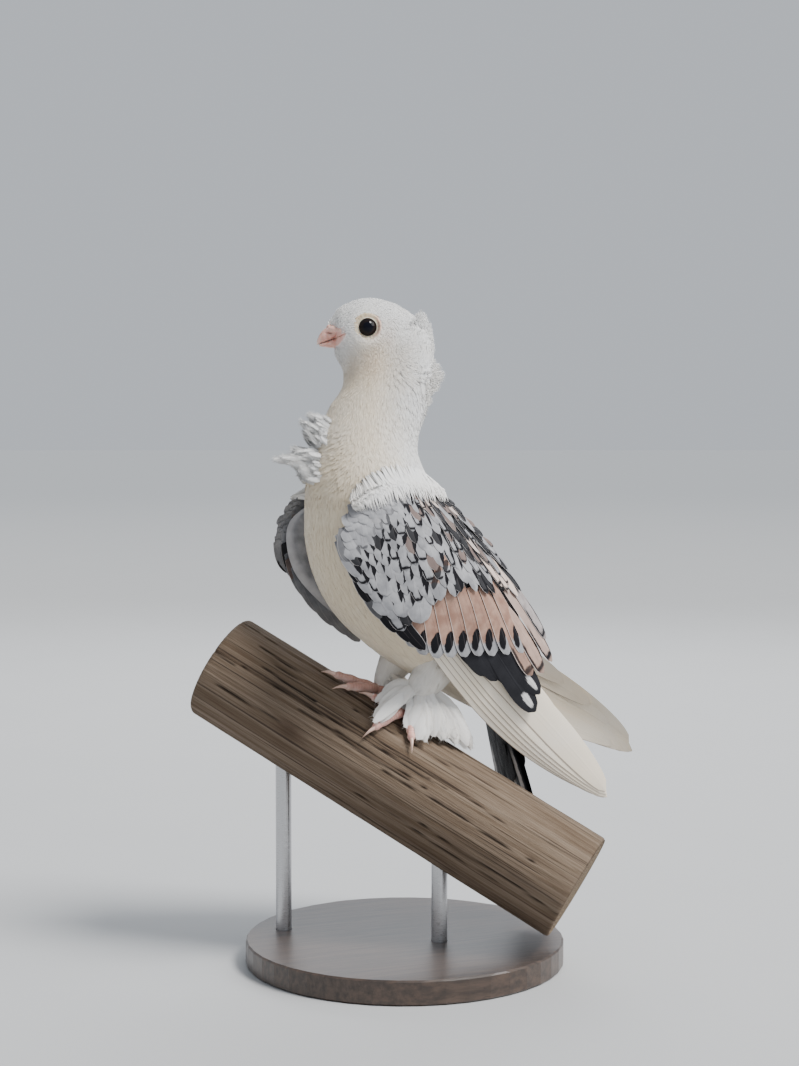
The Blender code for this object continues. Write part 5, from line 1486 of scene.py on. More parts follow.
def build_covers(name, side, surface, chance, material):
    """Covers in tiers over the shield, from the wrist to the bronze band."""
    tiers = 17
    share_all, f_all = [], []
    for tier in range(tiers):
        share = (tier + 0.6) / (tiers - 0.4)
        edges = cover_tip(np.full(2, share), np.array((0.0, 1.0)), side)
        count = int(round(np.linalg.norm(edges[1] - edges[0]) / (3.6 + 1.9 * share)))
        f = (np.arange(count) + 0.5 * (tier % 2) + 0.25) / count + chance.normal(0.0, 0.12 / count, count)
        share_all.append(share + chance.normal(0.0, 0.008, count))
        f_all.append(np.clip(f, 0.02, 0.99))
    share, f = np.concatenate(share_all), np.concatenate(f_all)
    count = len(f)
    tip = cover_tip(share, f, side)
    aim = np.interp(f, (0.0, 0.08, 0.22, 0.5, 0.75, 1.0), (-12.0, -22.0, -40.0, -38.0, -26.0, -14.0))
    heading = np.radians(aim - 8.0 * (1.0 - share) * (f < 0.5)) + chance.normal(0.0, 0.07, count)
    upper = smooth(f, 0.50, 0.85)
    length = (12.5 + 11.0 * share + 3.0 * upper * share) * chance.uniform(0.93, 1.08, count)
    half = (2.6 + 1.9 * share - 1.5 * upper * (0.5 + 0.5 * share)) * chance.uniform(0.9, 1.12, count)
    length = within_shield(tip, heading, length)
    roots = rooted(tip, heading, length)
    tone, mark = cover_marks(tip[:, 0], tip[:, 1], share, f, upper, chance)
    # Long dark covers with thin pale edges along the leading edge
    lead_tip = np.array(((12.0, -11.5), (23.0, -15.5), (34.0, -18.5), (44.0, -19.8), (54.0, -19.6), (63.0, -18.0),
                         (70.0, -16.5)))
    if side > 0:
        lead_tip[:, 1] -= 5.5
    k = np.arange(len(lead_tip))
    lead_head = np.radians((-34.0, -28.0, -22.0, -17.0, -13.0, -11.0, -10.0))
    lead_length = np.array((17.0, 24.0, 28.0, 30.0, 31.0, 31.0, 31.0))
    lead_root = rooted(lead_tip, lead_head, lead_length)
    dark = np.array((0.5, 1.0, 1.0, 0.75, 1.0, 1.0, 1.0)) * (0.15 if side > 0 else 1.0)
    # Two broad plain covers over the lower part of the band
    broad_tip = np.array(((36.0, -11.0), (50.0, -12.5), (58.5, -9.0)))
    broad_head = np.radians((-42.0, -38.0, -40.0))
    broad_root = rooted(broad_tip, broad_head, 20.0)
    total = count + len(lead_tip) + len(broad_tip)
    cells, size = cell_uv(total, int(math.ceil(math.sqrt(total))))
    plumage = Plumage()
    lay(plumage, surface, roots[:, 0], roots[:, 1], heading, length, half, chance, rows=12, columns=7,
        shape=(0.55, 0.10, 0.55), sink=1.0 + 0.06 * length, lift=0.30, camber=0.05, thick=0.12, tilt=-0.05,
        bow=chance.normal(0.0, 0.4, count), uv_root=cells[:count], patch=size, tone=tone, mark=mark)
    lay(plumage, surface, lead_root[:, 0], lead_root[:, 1], lead_head, lead_length, 2.9 + 0.05 * k, chance, rows=16,
        columns=7, shape=(0.5, 0.12, 0.7), sink=1.2, lift=-0.15, camber=0.05, thick=0.12, tilt=-0.05,
        bow=-1.6, uv_root=cells[count:count + len(k)], patch=size, tone=joined(0.0, dark, 0.0))
    lay(plumage, surface, broad_root[:, 0], broad_root[:, 1], broad_head, 20.0, np.array((5.2, 6.0, 6.8)), chance,
        rows=16, columns=9, shape=(0.5, 0.10, 0.55), sink=1.6, lift=np.array((0.55, 0.5, 0.65)), camber=0.03,
        thick=0.14, tilt=-0.04, uv_root=cells[count + len(k):], patch=size)
    plumage.link("wing_" + name + "_covers", material, "shield_feather")


def cover_marks(s, t, share, f, upper, chance):
    """Plain covers at the wrist, spotted over the middle, dark and streaked towards the back."""
    count = len(f)
    plain = (1.0 - smooth(s, 9.0, 17.0)) * (1.0 - smooth(f, 0.45, 0.75))
    draw, other, third = chance.random(count), chance.random(count), chance.random(count)
    brown = (third > 0.62) & (third < 0.65 + 0.14 * upper)
    dark = np.where(third < 0.07 + 0.42 * upper, 0.92, np.where(brown, 0.45, 0.0)) * (1.0 - plain)
    tone = joined(np.where(brown, 0.6, 0.0) * (1.0 - plain), dark,
                  np.where((third > 0.82) & (upper > 0.4), 0.7, 0.0))
    mark = joined(np.where(other < 0.18 + 0.50 * upper, 1.0, 0.0) * (1.0 - plain), 0.0,
                  np.where(draw < 0.68, 1.0, 0.0) * (1.0 - plain))
    bronze = (s > 52.0) & (s < 74.0) & (t > 4.0) & (t < 19.0) & (share > 0.72) & (share < 0.97) & (other < 0.6)
    tone[bronze, 0] = 1.0
    mark[bronze, 1:] = (0.9, 0.0)
    pale = (s > 82.0) & (t > 18.0) & (t < 40.0)
    tone[pale] = (0.0, 0.0, 1.0)
    mark[pale, 0] = other[pale] < 0.75
    mark[pale, 2] = 0.0
    return tone, mark


def build_flight(name, side, lifts, chance, shield_material, flight_material, tail_material):
    """Primaries, dark secondaries, the bronze band and the tertials."""
    primaries = Plumage()
    tips = np.array(((205.0, -2.5), (211.0, -1.2), (214.5, -0.2), (215.5, 0.8), (214.0, 1.6), (212.0, 2.4),
                     (198.0, 4.5), (182.0, 8.0), (164.0, 9.5), (148.0, 9.0)))
    k = np.arange(len(tips))
    blade = k == 5
    roots = joined(62.0 - 1.0 * k, np.where(blade, 0.0, -10.0 + 2.3 * k))
    span_s, span_t = (tips - roots).T
    cells, size = cell_uv(len(tips), 4)
    lay(primaries, wing(side, lifts[0]), roots[:, 0], roots[:, 1], np.arctan2(span_t, span_s),
        np.hypot(span_s, span_t), np.where(blade, 8.6, 6.0), chance, rows=34, columns=9, shape=(0.6, 0.06, 0.62),
        even=0.85, sink=0.0, lift=0.0, camber=0.03, thick=0.16, bow=np.where(blade, 1.4, -7.0 + 0.7 * k),
        tilt=-0.01, uv_root=cells, patch=size, tone=joined(0.40 + 0.05 * (k % 2), 0.95, 0.0), lopsided=0.28)
    sunk(primaries, side, np.where(k < 6, 8.8 - 0.45 * k, 6.55 + 0.5 * (k - 5)))
    primaries.link("wing_" + name + "_primaries", flight_material, "white_feather")

    blacks = Plumage()
    tips = np.array(((100.0, -3.0), (107.0, -3.0), (114.0, -0.5), (122.0, 3.5), (133.0, 7.0), (145.0, 3.5),
                     (140.0, 11.0)))
    k = np.arange(len(tips))
    vanes(blacks, wing(side, lifts[1]), tips, np.radians(-13.0 + 1.0 * k), 46.0 + 3.0 * k,
          np.array((5.0, 5.0, 5.2, 5.4, 5.6, 6.4, 6.0)), chance, side, 3.6 - 0.15 * k, cell_uv(len(tips), 3),
          shape=(0.6, 0.10, 0.7), tilt=-0.05, mark=joined(0.0, k >= 5, 0.0), bow=-1.0)
    blacks.link("wing_" + name + "_secondaries", tail_material, "tail_feather")

    band = Plumage()
    tips = np.array(((66.0, -18.5), (73.0, -17.5), (79.5, -14.0), (85.0, -9.0), (90.5, -4.0), (96.0, 1.0),
                     (102.0, 5.5), (108.0, 10.5), (114.0, 16.0)))
    k = np.arange(len(tips))
    cells, size = cell_uv(len(tips) + 4, 4)
    vanes(band, wing(side, lifts[1]), tips, np.radians(-33.0 + 1.1 * k), 32.0 + 1.0 * k, 5.4, chance, side,
          2.3 - 0.09 * k, (cells[:len(tips)], size), shape=(0.6, 0.12, 0.7), tilt=-0.09, tone=(1.0, 0.0, 0.0),
          mark=(0.0, 1.0, 0.0), bow=1.0)
    tertials = np.array(((128.0, 14.0), (133.0, 19.0), (134.0, 26.0), (124.0, 32.0)))
    vanes(band, wing(side, lifts[2]), tertials, np.radians((-12.0, -12.0, -13.0, -15.0)),
          np.array((44.0, 46.0, 48.0, 42.0)), 5.6, chance, side, 1.9 - 0.12 * np.arange(4),
          (cells[len(tips):], size), shape=(0.6, 0.12, 0.68), tilt=-0.08, bow=1.5,
          tone=((1.0, 0.0, 0.1), (0.95, 0.0, 0.25), (0.75, 0.0, 0.25), (0.2, 0.0, 0.1)),
          mark=((0.9, 0.0, 0.0), (0.95, 0.0, 0.0), (1.0, 0.0, 0.0), (1.0, 0.0, 0.0)))
    band.link("wing_" + name + "_band", shield_material, "shield_feather")


def build_mantle(material):
    """Laced feathers over the back between the wings."""
    chance = np.random.default_rng(41)
    p, a = scatter(16.4, 24.6, 5.0, chance)
    m = from_back(a)
    keep = (m < 1.05) & (p > 16.6 + 1.1 * smooth(m, 0.0, 1.0))
    p, a = p[keep], a[keep]
    count = len(p)
    white = smooth(p, 23.0, 24.5)
    dark = np.where(chance.random(count) < 0.25, 0.8, 0.1)
    pale = np.where(chance.random(count) < 0.2, 0.7, 0.0)
    lace = np.where(chance.random(count) < 0.7, 0.95, 0.2)
    blotch = np.where(chance.random(count) < 0.5, 1.0, 0.0)
    cells, size = cell_uv(count, int(math.ceil(math.sqrt(count))))
    plumage = Plumage()
    lay(plumage, trunk, p, a, chance.normal(0.0, 0.08, count), 15.0 + 0.7 * (p - 16.0), 4.2 + 0.25 * (p - 16.0), chance,
        rows=9, columns=5, shape=(0.55, 0.12, 0.55), sink=1.2, lift=1.3, camber=0.05, thick=0.15, uv_root=cells,
        patch=size, tone=joined(0.0, dark, np.maximum(pale, white)),
        mark=joined(lace, 0.0, blotch) * (1.0 - white)[:, None])
    plumage.link("mantle_feathers", material, "shield_feather")


def build_shoulder(skin, material):
    """White body feathers that lap over the front and top of each wing."""
    chance = np.random.default_rng(51)
    tree = tree_of(skin)
    plumage = Plumage()
    n = 700
    for side, _ in SIDES:
        surface = wing(side)
        share = chance.random(n) ** 1.3
        s = np.interp(share, (0.0, 0.18, 0.4, 0.65, 1.0), (-4.0, -1.5, 4.0, 12.0, 33.0))
        t = np.interp(share, (0.0, 0.18, 0.4, 0.65, 1.0), (9.0, 18.0, 27.0, 37.0, 50.0))
        heading = np.interp(share, (0.0, 0.5, 1.0), (-0.35, -0.62, -0.5)) + chance.normal(0.0, 0.14, n)
        inside = (-2.0 + 9.5 * chance.random(n) ** 1.6) * np.interp(share, (0.0, 0.2, 0.7, 1.0), (0.3, 1.0, 1.0, 0.6))
        outside = chance.uniform(3.5, 13.0, n)
        tip, up, _, _ = surface(s + np.cos(heading) * inside, t + np.sin(heading) * inside)
        tip = tip + up * chance.uniform(0.5, 1.3, n)[:, None]
        from_here, _, _, _ = surface(s - np.cos(heading) * outside, t - np.sin(heading) * outside)
        root = np.array([nearest(tree, spot) for spot in from_here])
        edge, _, _, _ = surface(s - 2.5 * np.cos(heading), t - 2.5 * np.sin(heading))
        bend = edge + up * chance.uniform(0.7, 1.5, n)[:, None]
        bend = 2.0 * bend - 0.5 * (root + tip)
        across = unit(np.cross(tip - root, up))
        half = np.where(inside > 2.5, 0.55, 1.15) * chance.uniform(0.8, 1.2, n)
        uv = joined(0.55 + 0.1 * share, TRUNK_BAND[0] + (0.2 if side > 0 else 0.6) + 0.01 * inside)
        sweep(plumage, root, bend, tip, across, half, chance, uv, rows=7, columns=3, shape=(0.6, 0.12, 0.4),
              camber=0.15, thick=0.04, tone=joined(np.interp(share, (0.0, 0.3), (0.2, 0.08)), 0.0, 0.0), fringe=5,
              fringe_reach=1.2)
    plumage.link("coat_shoulder", material, "white_feather")


def nearest(tree, spot):
    """The skin's nearest point to a spot, in millimetres."""
    found, _, _, _ = tree.find_nearest(Vector((spot + SHIFT) * MM))
    return np.array(found) / MM - SHIFT


# Tail, legs and feet

def build_tail(material):
    """Tail feathers in a closed stack, with covers above and below the root and the root under them."""
    along = np.array((math.cos(TAIL_DIP), 0.0, -math.sin(TAIL_DIP)))
    above = np.array((math.sin(TAIL_DIP), 0.0, math.cos(TAIL_DIP)))

    def spot(far, wide, high):
        return TAIL_ROOT + along * np.reshape(far, (-1, 1)) + RIGHT * wide[:, None] + above * high[:, None]

    chance = np.random.default_rng(61)
    plumage = Plumage()
    count = 12
    k = np.arange(count)
    pair = k // 2
    fan = np.where(k % 2, 1.0, -1.0) * 15.5 * (pair + 0.3) / 5.3
    level = (5.5 - k) * 0.7
    root = spot(10.0, fan * 0.3, level)
    tip = spot(TAIL_LENGTH - 0.9 * pair, fan, level)
    bend = (root + tip) * 0.5 + above * 0.8 + RIGHT * (0.10 * fan)[:, None]
    cells, size = cell_uv(count, 4)
    sweep(plumage, root, bend, tip, np.tile(RIGHT, (count, 1)), 7.6 + 0.0 * k, chance, cells, rows=30, columns=9,
          shape=(0.5, 0.18, 0.74), camber=0.03, thick=0.2, patch=size, mark=joined(0.9 * (k >= 10), 0.0, 0.0))
    plumage.link("tail_vanes", material, "tail_feather")

    covers = Plumage()
    count = 44
    draw = chance.random(count)
    fan = chance.uniform(-8.0, 8.0, count)
    level = np.where(draw < 0.5, 1.0, -1.0) * (4.6 - 0.10 * np.abs(fan))
    reach = np.where(level > 0, chance.uniform(22.0, 46.0, count), chance.uniform(26.0, 52.0, count))
    start, stop = spot(reach - 22.0, fan * 0.8, level * 0.7), spot(reach, fan, level)
    middle = (start + stop) * 0.5 + above * np.sign(level)[:, None]
    cells, size = cell_uv(count, 7)
    sweep(covers, start, middle, stop, np.tile(RIGHT, (count, 1)), chance.uniform(3.4, 4.4, count), chance, cells,
          rows=10, columns=5, shape=(0.6, 0.15, 0.6), camber=0.1, thick=0.15, patch=size, ragged=0.05)
    covers.link("tail_covers", material, "tail_feather")

    share = np.linspace(-4.0, 30.0, 14)[:, None]
    angle = circle(32)[None]
    wide = np.interp(share, (-4.0, 0.0, 12.0, 24.0, 30.0), (6.0, 7.5, 9.0, 8.0, 5.0))
    deep = np.interp(share, (-4.0, 0.0, 12.0, 24.0, 30.0), (4.5, 5.5, 5.0, 4.0, 3.0))
    rings = TAIL_ROOT + along * share[..., None] + RIGHT * (wide * np.cos(angle))[..., None]
    rings = rings + above * (deep * np.sin(angle))[..., None]
    plain = 0.0 * rings
    mesh = tube_mesh("tail_root", rings, plain, square_uv, {"mark": plain, "place": plain})
    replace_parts(link("tail_root", mesh, material), "tail")


# Tips of the feathers over each foot, round the pole: along it, angle from its ridge, height
MUFF_LEFT = ((9.0, 31.0, 2.6), (15.0, 27.0, 2.8), (20.0, 22.0, 3.0), (25.0, 16.0, 3.0), (30.0, 8.0, 3.2),
             (34.0, -1.0, 3.4), (36.0, -10.0, 3.6), (35.0, -20.0, 3.4), (33.0, -28.0, 3.2), (27.0, -31.0, 3.2),
             (20.0, -32.0, 3.2), (28.0, -6.0, 5.4), (24.0, 6.0, 5.0), (18.0, 14.0, 4.6), (23.0, -18.0, 5.0),
             (13.0, 22.0, 4.0), (-7.4, 43.0, 5.4), (-13.0, 20.0, 4.4))
MUFF_RIGHT = ((-2.0, -34.0, 3.0), (4.0, -26.0, 3.2), (-10.0, -38.0, 3.2), (7.0, -14.0, 4.6), (0.0, -22.0, 5.4),
              (8.0, -4.0, 4.4), (6.0, 6.0, 4.0), (2.0, 12.0, 4.0), (-16.0, -34.0, 4.0), (-6.0, -28.0, 5.0))


def build_legs(material):
    """Thigh feathers and the long feathers over each foot."""
    thighs, muffs = Plumage(), Plumage()
    _, over, near = pole_frame()
    # Side, limb, seed, feather tips and the way their outer faces look
    for side, rows, seed, fans, outer in ((-1.0, LEG_LEFT, 71, MUFF_LEFT, unit(0.45 * over + near)),
                                          (1.0, LEG_RIGHT, 72, MUFF_RIGHT, over)):
        chance = np.random.default_rng(seed)
        start = 0.0 if side < 0 else 0.5
        n = 1100
        p = chance.uniform(0.2, 2.75, n)
        a = chance.uniform(0.0, 2.0 * math.pi, n)
        lay(thighs, limb(rows)[0], p, a, chance.normal(0.0, 0.10, n), 9.0 - 1.6 * p, 0.95 - 0.12 * p, chance, rows=4,
            lift=0.25, sink=0.5, camber=0.10, thick=0.04, shape=(0.7, 0.1, 0.35),
            uv_root=joined(start + 0.48 * p / 3.0, LEG_BAND * a / 6.3), tone=(0.30, 0.0, 0.0))
        far, angle, height = np.repeat(np.array(fans), 9, axis=0).T
        count = len(far)
        tip = on_pole(far + chance.normal(0.0, 1.8, count), angle + chance.normal(0.0, 3.5, count),
                      height + chance.uniform(-0.8, 1.6, count))
        root = np.array(rows[-2][:3]) + np.array((0.5, 0.0, 2.5)) + chance.normal(0.0, 1.5, (count, 3))
        tip = root + (tip - root) * chance.uniform(0.72, 1.02, count)[:, None]
        bend = root * 0.36 + tip * 0.64 + over * chance.uniform(5.0, 8.5, count)[:, None]
        cross = unit(unit(np.cross(tip - root, outer)) + chance.normal(0.0, 0.08, (count, 3)))
        uv = joined(start + 0.05 + 0.4 * np.arange(count) / count, 0.10)
        # The muffs get a little cream and a little painted shade
        sweep(muffs, root, bend, tip, cross, chance.uniform(2.6, 4.2, count), chance, uv, rows=10, columns=5,
              shape=(0.3, 0.25, 0.6), camber=0.07, thick=0.04, ragged=0.10, tone=(0.10, 0.05, 0.0), fringe=20,
              fringe_reach=1.1)
    thighs.link("coat_legs", material, "white_feather")
    muffs.link("muff_feathers", material, "white_feather")


def build_feet(toe_material, horn_material):
    """Scaled toes, shanks and curved claws."""
    angle = circle(24)[None, :, None]
    # The right foot, on the far side where the body shades it, gets much more brown than the left: painted shade
    for name, layout, rows, brown in (("left", FOOT_LEFT, LEG_LEFT, 0.1), ("right", FOOT_RIGHT, LEG_RIGHT, 0.8)):
        ball = layout[:2]
        centre = on_pole(ball[0], ball[1], 4.4)
        parts = []
        for number, end in enumerate(layout[2]):
            parts.append(toe_rings(ball, end, brown, number))
            claw_piece("claw_%s_%d" % (name, number + 1), ball, end, horn_material)
        ankle = np.array(rows[-1][:3])
        share = np.linspace(-0.1, 1.1, 18)[:, None, None]
        axis = unit(ankle - centre)
        helper = unit(np.cross(axis, RIGHT))
        other = np.cross(axis, helper)
        radius = 3.0 - 0.3 * np.sin(math.pi * np.clip(share, 0.0, 1.0)) + 0.12 * np.cos(share * 50.0)
        shank = centre + (ankle - centre) * share + (helper * np.cos(angle) + other * np.sin(angle)) * radius
        polar = np.linspace(0.08, math.pi - 0.08, 16)[:, None, None]
        knuckle = centre + np.array((4.0, 3.9, 3.5)) * np.concatenate(
            (np.sin(polar) * np.cos(angle), np.sin(polar) * np.sin(angle), np.cos(polar) + 0.0 * angle), -1)
        for rings in (shank, knuckle):
            parts.append((rings, joined(0.0, 0.0, np.full(rings.shape[:2], brown))))
        pieces = [plain_piece("toe_part", tube_mesh("toe_part", rings, tone, square_uv), toe_material)
                  for rings, tone in parts]
        united("foot_" + name + "_toes", pieces, "toe_skin", "foot_" + name)


def rings_round(path, top, angle, high, wide, reach):
    """Rings round a path, square to it, high and wide shares of a reach."""
    ahead = unit(np.gradient(path, axis=0))
    across = unit(np.cross(ahead, top))
    top = np.cross(across, ahead)
    return path[:, None] + (top[:, None] * (high * np.cos(angle))[None, :, None]
                            + across[:, None] * (wide * np.sin(angle))[None, :, None]) * reach[..., None]


def tones_of(mesh):
    """The points of a mesh and their tones."""
    points, tones = np.zeros(3 * len(mesh.vertices)), np.zeros(3 * len(mesh.vertices))
    mesh.vertices.foreach_get("co", points)
    mesh.attributes["tone"].data.foreach_get("vector", tones)
    return points.reshape(-1, 3), tones.reshape(-1, 3)


def carry_tones(mesh, points, tones):
    """Give a joined mesh the tones of the pieces' nearest points, which joining drops."""
    tree = KDTree(len(points))
    for index, point in enumerate(points):
        tree.insert(point, index)
    tree.balance()
    carried = np.array([tones[tree.find(vertex.co)[1]] for vertex in mesh.vertices])
    mesh.attributes["tone"].data.foreach_set("vector", carried.ravel())


def united(name, items, slot, *nodes):
    """One closed piece from overlapping closed ones, in place of CAD nodes."""
    first, rest = items[0], items[1:]
    points, tones = (np.concatenate(held) for held in zip(*(tones_of(item.data) for item in items)))
    group = bpy.data.collections.new(name + "_parts")
    bpy.context.scene.collection.children.link(group)
    for item in rest:
        bpy.context.scene.collection.objects.unlink(item)
        group.objects.link(item)
    join = first.modifiers.new("join", "BOOLEAN")
    join.operation = "UNION"
    join.operand_type = "COLLECTION"
    join.collection = group
    join.solver = "EXACT"
    bpy.context.view_layer.update()
    graph = bpy.context.evaluated_depsgraph_get()
    mesh = bpy.data.meshes.new_from_object(first.evaluated_get(graph), depsgraph=graph)
    first.modifiers.clear()
    carry_tones(mesh, points, tones)
    first.data = mesh
    first.name = name
    mesh.shade_smooth()
    for item in rest:
        bpy.data.objects.remove(item, do_unlink=True)
    bpy.data.collections.remove(group)
    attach(first, "root")
    if nodes:
        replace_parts(first, *nodes)
    return first


def toe_rings(ball, end, brown, number):
    """Rings of a toe that bends over the pole, ridged by its scales."""
    share = np.linspace(0.0, 1.0, 84)
    along, round_pole = ball[0] + (end[0] - ball[0]) * share, ball[1] + (end[1] - ball[1]) * share
    path = on_pole(along, round_pole, TOE_RADIUS + 0.5 + 1.6 * (1.0 - share) ** 2)
    top = unit(path - on_pole(along, round_pole, -20.0))
    joints = 0.10 * np.cos(share * 3.0 * 2.0 * math.pi)
    radius = TOE_RADIUS * (1.12 - 0.26 * share + joints * 0.9)
    radius = radius * np.sqrt(np.clip((1.02 - share) / 0.10, 0.05, 1.0))
    angle = circle(28)
    length = np.sum(np.linalg.norm(np.diff(path, axis=0), axis=1))
    scale = (share * length / 1.5 + 0.3 * number) % 1.0
    upper = smooth(np.cos(angle), -0.1, 0.5)[None]
    ridge = (0.16 * (1.0 - scale) ** 0.5)[:, None] * upper
    pads = 0.16 * np.maximum(0.0, np.cos(share * 4.0 * 2.0 * math.pi))[:, None] * (1.0 - upper)
    rings = rings_round(path, top, angle, 1.0, 1.0, radius[:, None] + ridge + pads)
    return rings, joined((smooth(scale, 0.80, 0.95)[:, None] * upper) * 0.7, 0.35 * (1.0 - upper) + 0.15, brown)


def claw_piece(name, ball, end, material):
    """A curved, tapering claw past the toe's end."""
    step = np.array((end[0] - ball[0], (end[1] - ball[1]) * math.radians(POLE_RADIUS)))
    share = np.linspace(0.0, 1.0, 26)
    beyond = (-0.6 + 7.3 * share) / np.linalg.norm(step)
    height = TOE_RADIUS + 0.5 + 1.2 * np.sin(math.pi * share * 0.8) - 1.9 * share
    path = on_pole(end[0] + (end[0] - ball[0]) * beyond, end[1] + (end[1] - ball[1]) * beyond, height)
    top = unit(on_pole(end[0], end[1], 5.0) - on_pole(end[0], end[1], 0.0))
    angle = circle(20)
    radius = 1.25 * (1.0 - 0.93 * share ** 1.3)
    rings = rings_round(path, top, angle, 1.1, 0.85, radius[:, None])
    mesh = tube_mesh(name, rings, joined(smooth(share, 0.1, 1.0)[:, None], 0.0 * angle, 0.0), square_uv)
    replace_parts(link(name + "_horn", mesh, material), name)


# Pole, stand, floor, light and camera

def build_pole(material):
    """The weathered pole: long cracks, a low knot and sawn ends."""
    chance = np.random.default_rng(81)
    angle = np.arange(200) / 200 * 360.0
    d, a = np.meshgrid(np.linspace(*POLE_REACH, 240), angle, indexing="ij")
    grain = joined(d, POLE_RADIUS * np.cos(np.radians(a)), POLE_RADIUS * np.sin(np.radians(a)))
    height = -0.25 - 0.30 * np.abs(wavering(grain * np.array((0.02, 0.35, 0.35)), 1.0, 11.0))
    height = height - 0.22 * np.maximum(0.0, wavering(grain * np.array((0.03, 1.3, 1.3)), 1.0, 23.0))
    crack = np.zeros_like(d)
    for _ in range(46):
        at, span = chance.uniform(*POLE_REACH), chance.uniform(14.0, 60.0)
        where, drift = chance.uniform(0.0, 360.0), chance.uniform(-0.05, 0.05)
        wide = chance.uniform(0.5, 1.5)
        off = about(a, where + drift * (d - at) + 1.1 * np.sin((d - at) / 9.0 + where))
        reach = np.clip(1.0 - np.abs(d - at) / span, 0.0, 1.0) ** 0.5
        crack = np.maximum(crack, np.exp(-(off / np.maximum(wide * reach, 0.15)) ** 2) * smooth(reach, 0.0, 0.35))
    height = height - 0.85 * crack
    ends = np.minimum(d - POLE_REACH[0], POLE_REACH[1] - d)
    height = height - 0.9 * np.exp(-np.maximum(ends, 0.0) / 0.5)
    knot = np.exp(-(((d + 42.0) / 9.0) ** 2) - (about(a, 92.0) / 11.0) ** 2)
    height = height + 0.25 * knot
    front = sawn_end(angle, POLE_REACH[0], 1.0, (0.03, 0.1, 0.2, 0.3, 0.4, 0.5, 0.6, 0.7, 0.8, 0.9, 0.985))
    side = (on_pole(d, a, height), joined(crack, 0.0, knot), grain, joined(POLE_RADIUS + 0.0 * d, 0.0, 0.0))
    rear = sawn_end(angle, POLE_REACH[1], -1.0, (0.985, 0.9, 0.8, 0.7, 0.6, 0.5, 0.4, 0.3, 0.2, 0.1, 0.03))
    points, tone, grain, disc = (np.concatenate(held) for held in zip(front, side, rear))
    mesh = tube_mesh("pole", points, tone, square_uv, {"grain": grain, "disc": disc})
    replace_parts(link("pole_wood", mesh, material), "stand_perch")


def sawn_end(angle, reach, inward, shares):
    """Points, tones, grain and radii of a sawn end with one check, in rings of shares of the radius."""
    share = np.array(shares)[:, None]
    radius = share * POLE_RADIUS
    check = np.maximum(0.0, 1.0 - np.abs(about(angle, 40.0) / (3.0 / np.maximum(share, 0.2))))
    check = check * smooth(share, 0.1, 0.35)
    around = np.radians(angle)
    return (on_pole(reach + inward * (0.25 + 1.0 * check), angle, (share - 1.0) * POLE_RADIUS - 0.9),
            joined(0.9 * check, 1.0, 0.0), joined(reach, radius * np.cos(around), radius * np.sin(around)),
            joined(radius + 0.0 * angle, 0.0, 0.0))


def plain_floor():
    """A wide pale floor, with a painted fall-off of light: darker further from the middle."""
    mesh = bpy.data.meshes.new("floor")
    reach = 40.0
    mesh.from_pydata([(-reach, -reach, 0.0), (reach, -reach, 0.0), (reach, reach, 0.0), (-reach, reach, 0.0)], [],
                     [(0, 1, 2, 3)])
    shader = Shader("floor", 0.8)
    length = shader.node("VectorMath", {0: shader.here()}, "Value", operation="LENGTH")
    # Painted fall-off of light: the floor darkens with distance from the middle
    colour = shader.layers((0.44, 0.445, 0.45), (shader.noise(9.0), (0.46, 0.465, 0.47)),
                           (length.step(0.8, 8.0), (0.345, 0.36, 0.375)))
    item = plain_piece("floor", mesh, shader.done(colour))
    item.location.z = -0.0002


def aimed(name, data, direction):
    """A light or camera that looks in a direction."""
    item = in_scene(name, data)
    item.rotation_mode = "QUATERNION"
    item.rotation_quaternion = Vector(direction).to_track_quat("-Z", "Y")
    return item


def area_light(name, place, aim, size, power, colour):
    """A soft rectangular light."""
    data = bpy.data.lights.new(name, "AREA")
    data.shape = "RECTANGLE"
    data.size, data.size_y = size
    data.energy = power
    data.color = colour
    aimed(name, data, Vector(aim) - Vector(place)).location = place


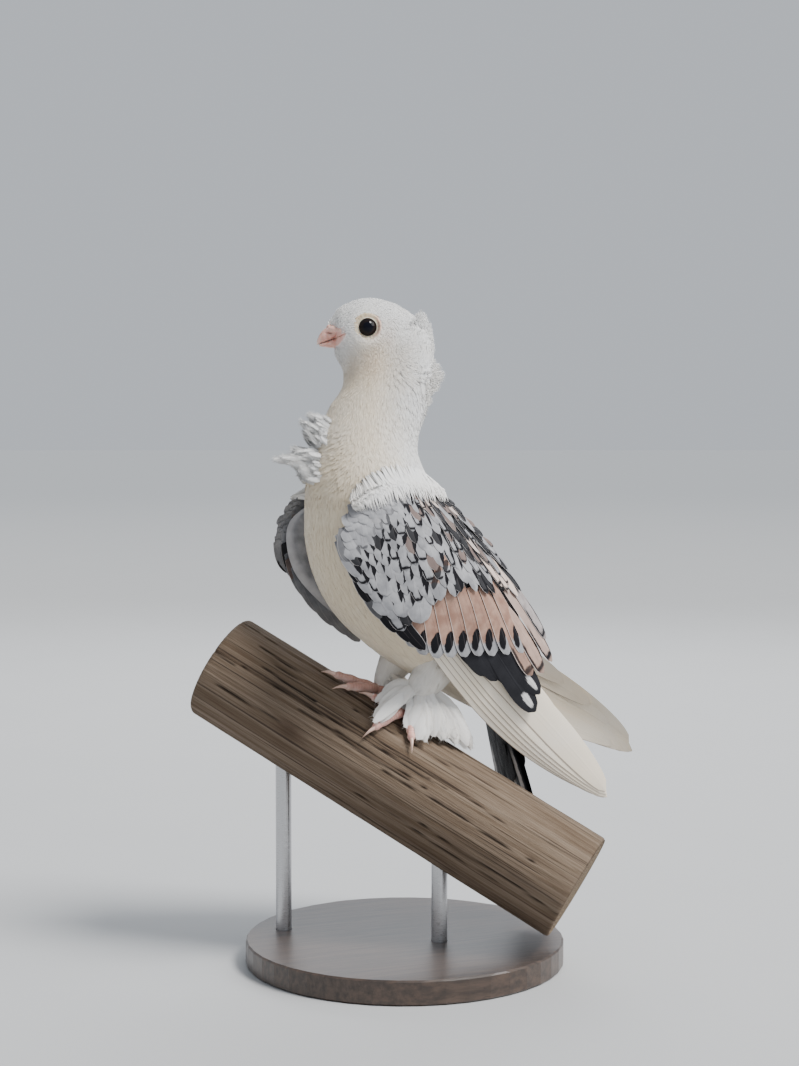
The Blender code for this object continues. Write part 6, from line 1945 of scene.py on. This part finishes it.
def studio():
    """Soft light from above and both sides, and the photo's camera."""
    world = bpy.data.worlds.new("studio")
    bpy.context.scene.world = world
    world.use_nodes = True
    back = world.node_tree.nodes["Background"]
    back.inputs[0].default_value = (0.80, 0.85, 0.92, 1.0)
    back.inputs[1].default_value = 0.70
    sun = bpy.data.lights.new("sky_light", "SUN")
    sun.energy = 4.2
    sun.angle = math.radians(18.0)
    sun.color = (1.0, 0.985, 0.96)
    aimed("sky_light", sun, (-0.38, 0.52, -0.90))
    middle = (0.0, 0.0, 0.2)
    area_light("key", (0.95, -0.75, 1.05), middle, (0.8, 0.8), 12.0, (0.97, 0.985, 1.0))
    area_light("rim", (0.6, 1.2, 1.1), middle, (1.0, 0.8), 12.0, (0.93, 0.96, 1.0))
    data = bpy.data.cameras.new("camera")
    azimuth, elevation, away = math.radians(-22.0), math.radians(3.0), 0.95
    aim = Vector((-0.002, 0.002, 0.2155))
    toward = Vector((math.sin(azimuth) * math.cos(elevation), -math.cos(azimuth) * math.cos(elevation),
                     math.sin(elevation)))
    camera = aimed("camera", data, -toward)
    camera.location = aim + toward * away
    data.sensor_fit = "AUTO"
    data.sensor_width = 36.0
    data.lens = 18.0 / (0.5 * 0.533 / away)
    data.clip_start, data.clip_end = 0.05, 30.0
    bpy.context.scene.camera = camera


def assign(node, material):
    """Give a carried CAD node a procedural material."""
    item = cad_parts[node]
    item.data.materials.clear()
    item.data.materials.append(material)


def build():
    """Make every piece."""
    white = white_plumage()
    skin = build_skin(white_plumage("feathered_skin", True))
    horn = bill_horn()
    upper, _ = build_bill(horn)
    build_cere((skin, upper), horn)
    build_gape(skin, horn)
    build_eyes(skin, eye_glass(), lid_skin())
    eye_fringe(white)
    coat("coat_head", -0.80, 9.2, 0.80, (3.2, 5.6), (0.50, 0.74), 11, white, plumed(1.0), skip_wing=False)
    coat("coat_neck", 9.0, 16.6, 1.27, (7.0, 9.5), (0.80, 1.12), 12, white, plumed(1.0), lift=0.12)
    coat("coat_torso", 16.3, 28.0, 1.72, (11.0, 13.0), (1.18, 1.55), 13, white, plumed(1.0), lift=0.14, sink=0.32)
    for number, share in enumerate((0.35, 0.7)):
        coat("coat_nape_%d" % number, 7.0, 14.0, 1.9, (9.0, 9.0), (1.5, 1.5), 14 + number, white, plumed(share),
             share=share)
    coat_hairs(white)
    build_tufts(white)
    shield, flight, tail = shield_plumage(), flight_plumage(), tail_plumage()
    for side, name in SIDES:
        build_wing(side, name, shield, flight, tail)
    build_mantle(shield)
    build_shoulder(skin, white)
    build_tail(tail)
    build_legs(white)
    build_feet(toe_skin(), claw_horn())
    build_pole(weathered_wood())
    steel, plate = rod_steel(), base_plate()
    for node in ("stand_rod_front", "stand_rod_rear"):
        assign(node, steel)
    assign("stand_base", plate)
    plain_floor()
    studio()


build()
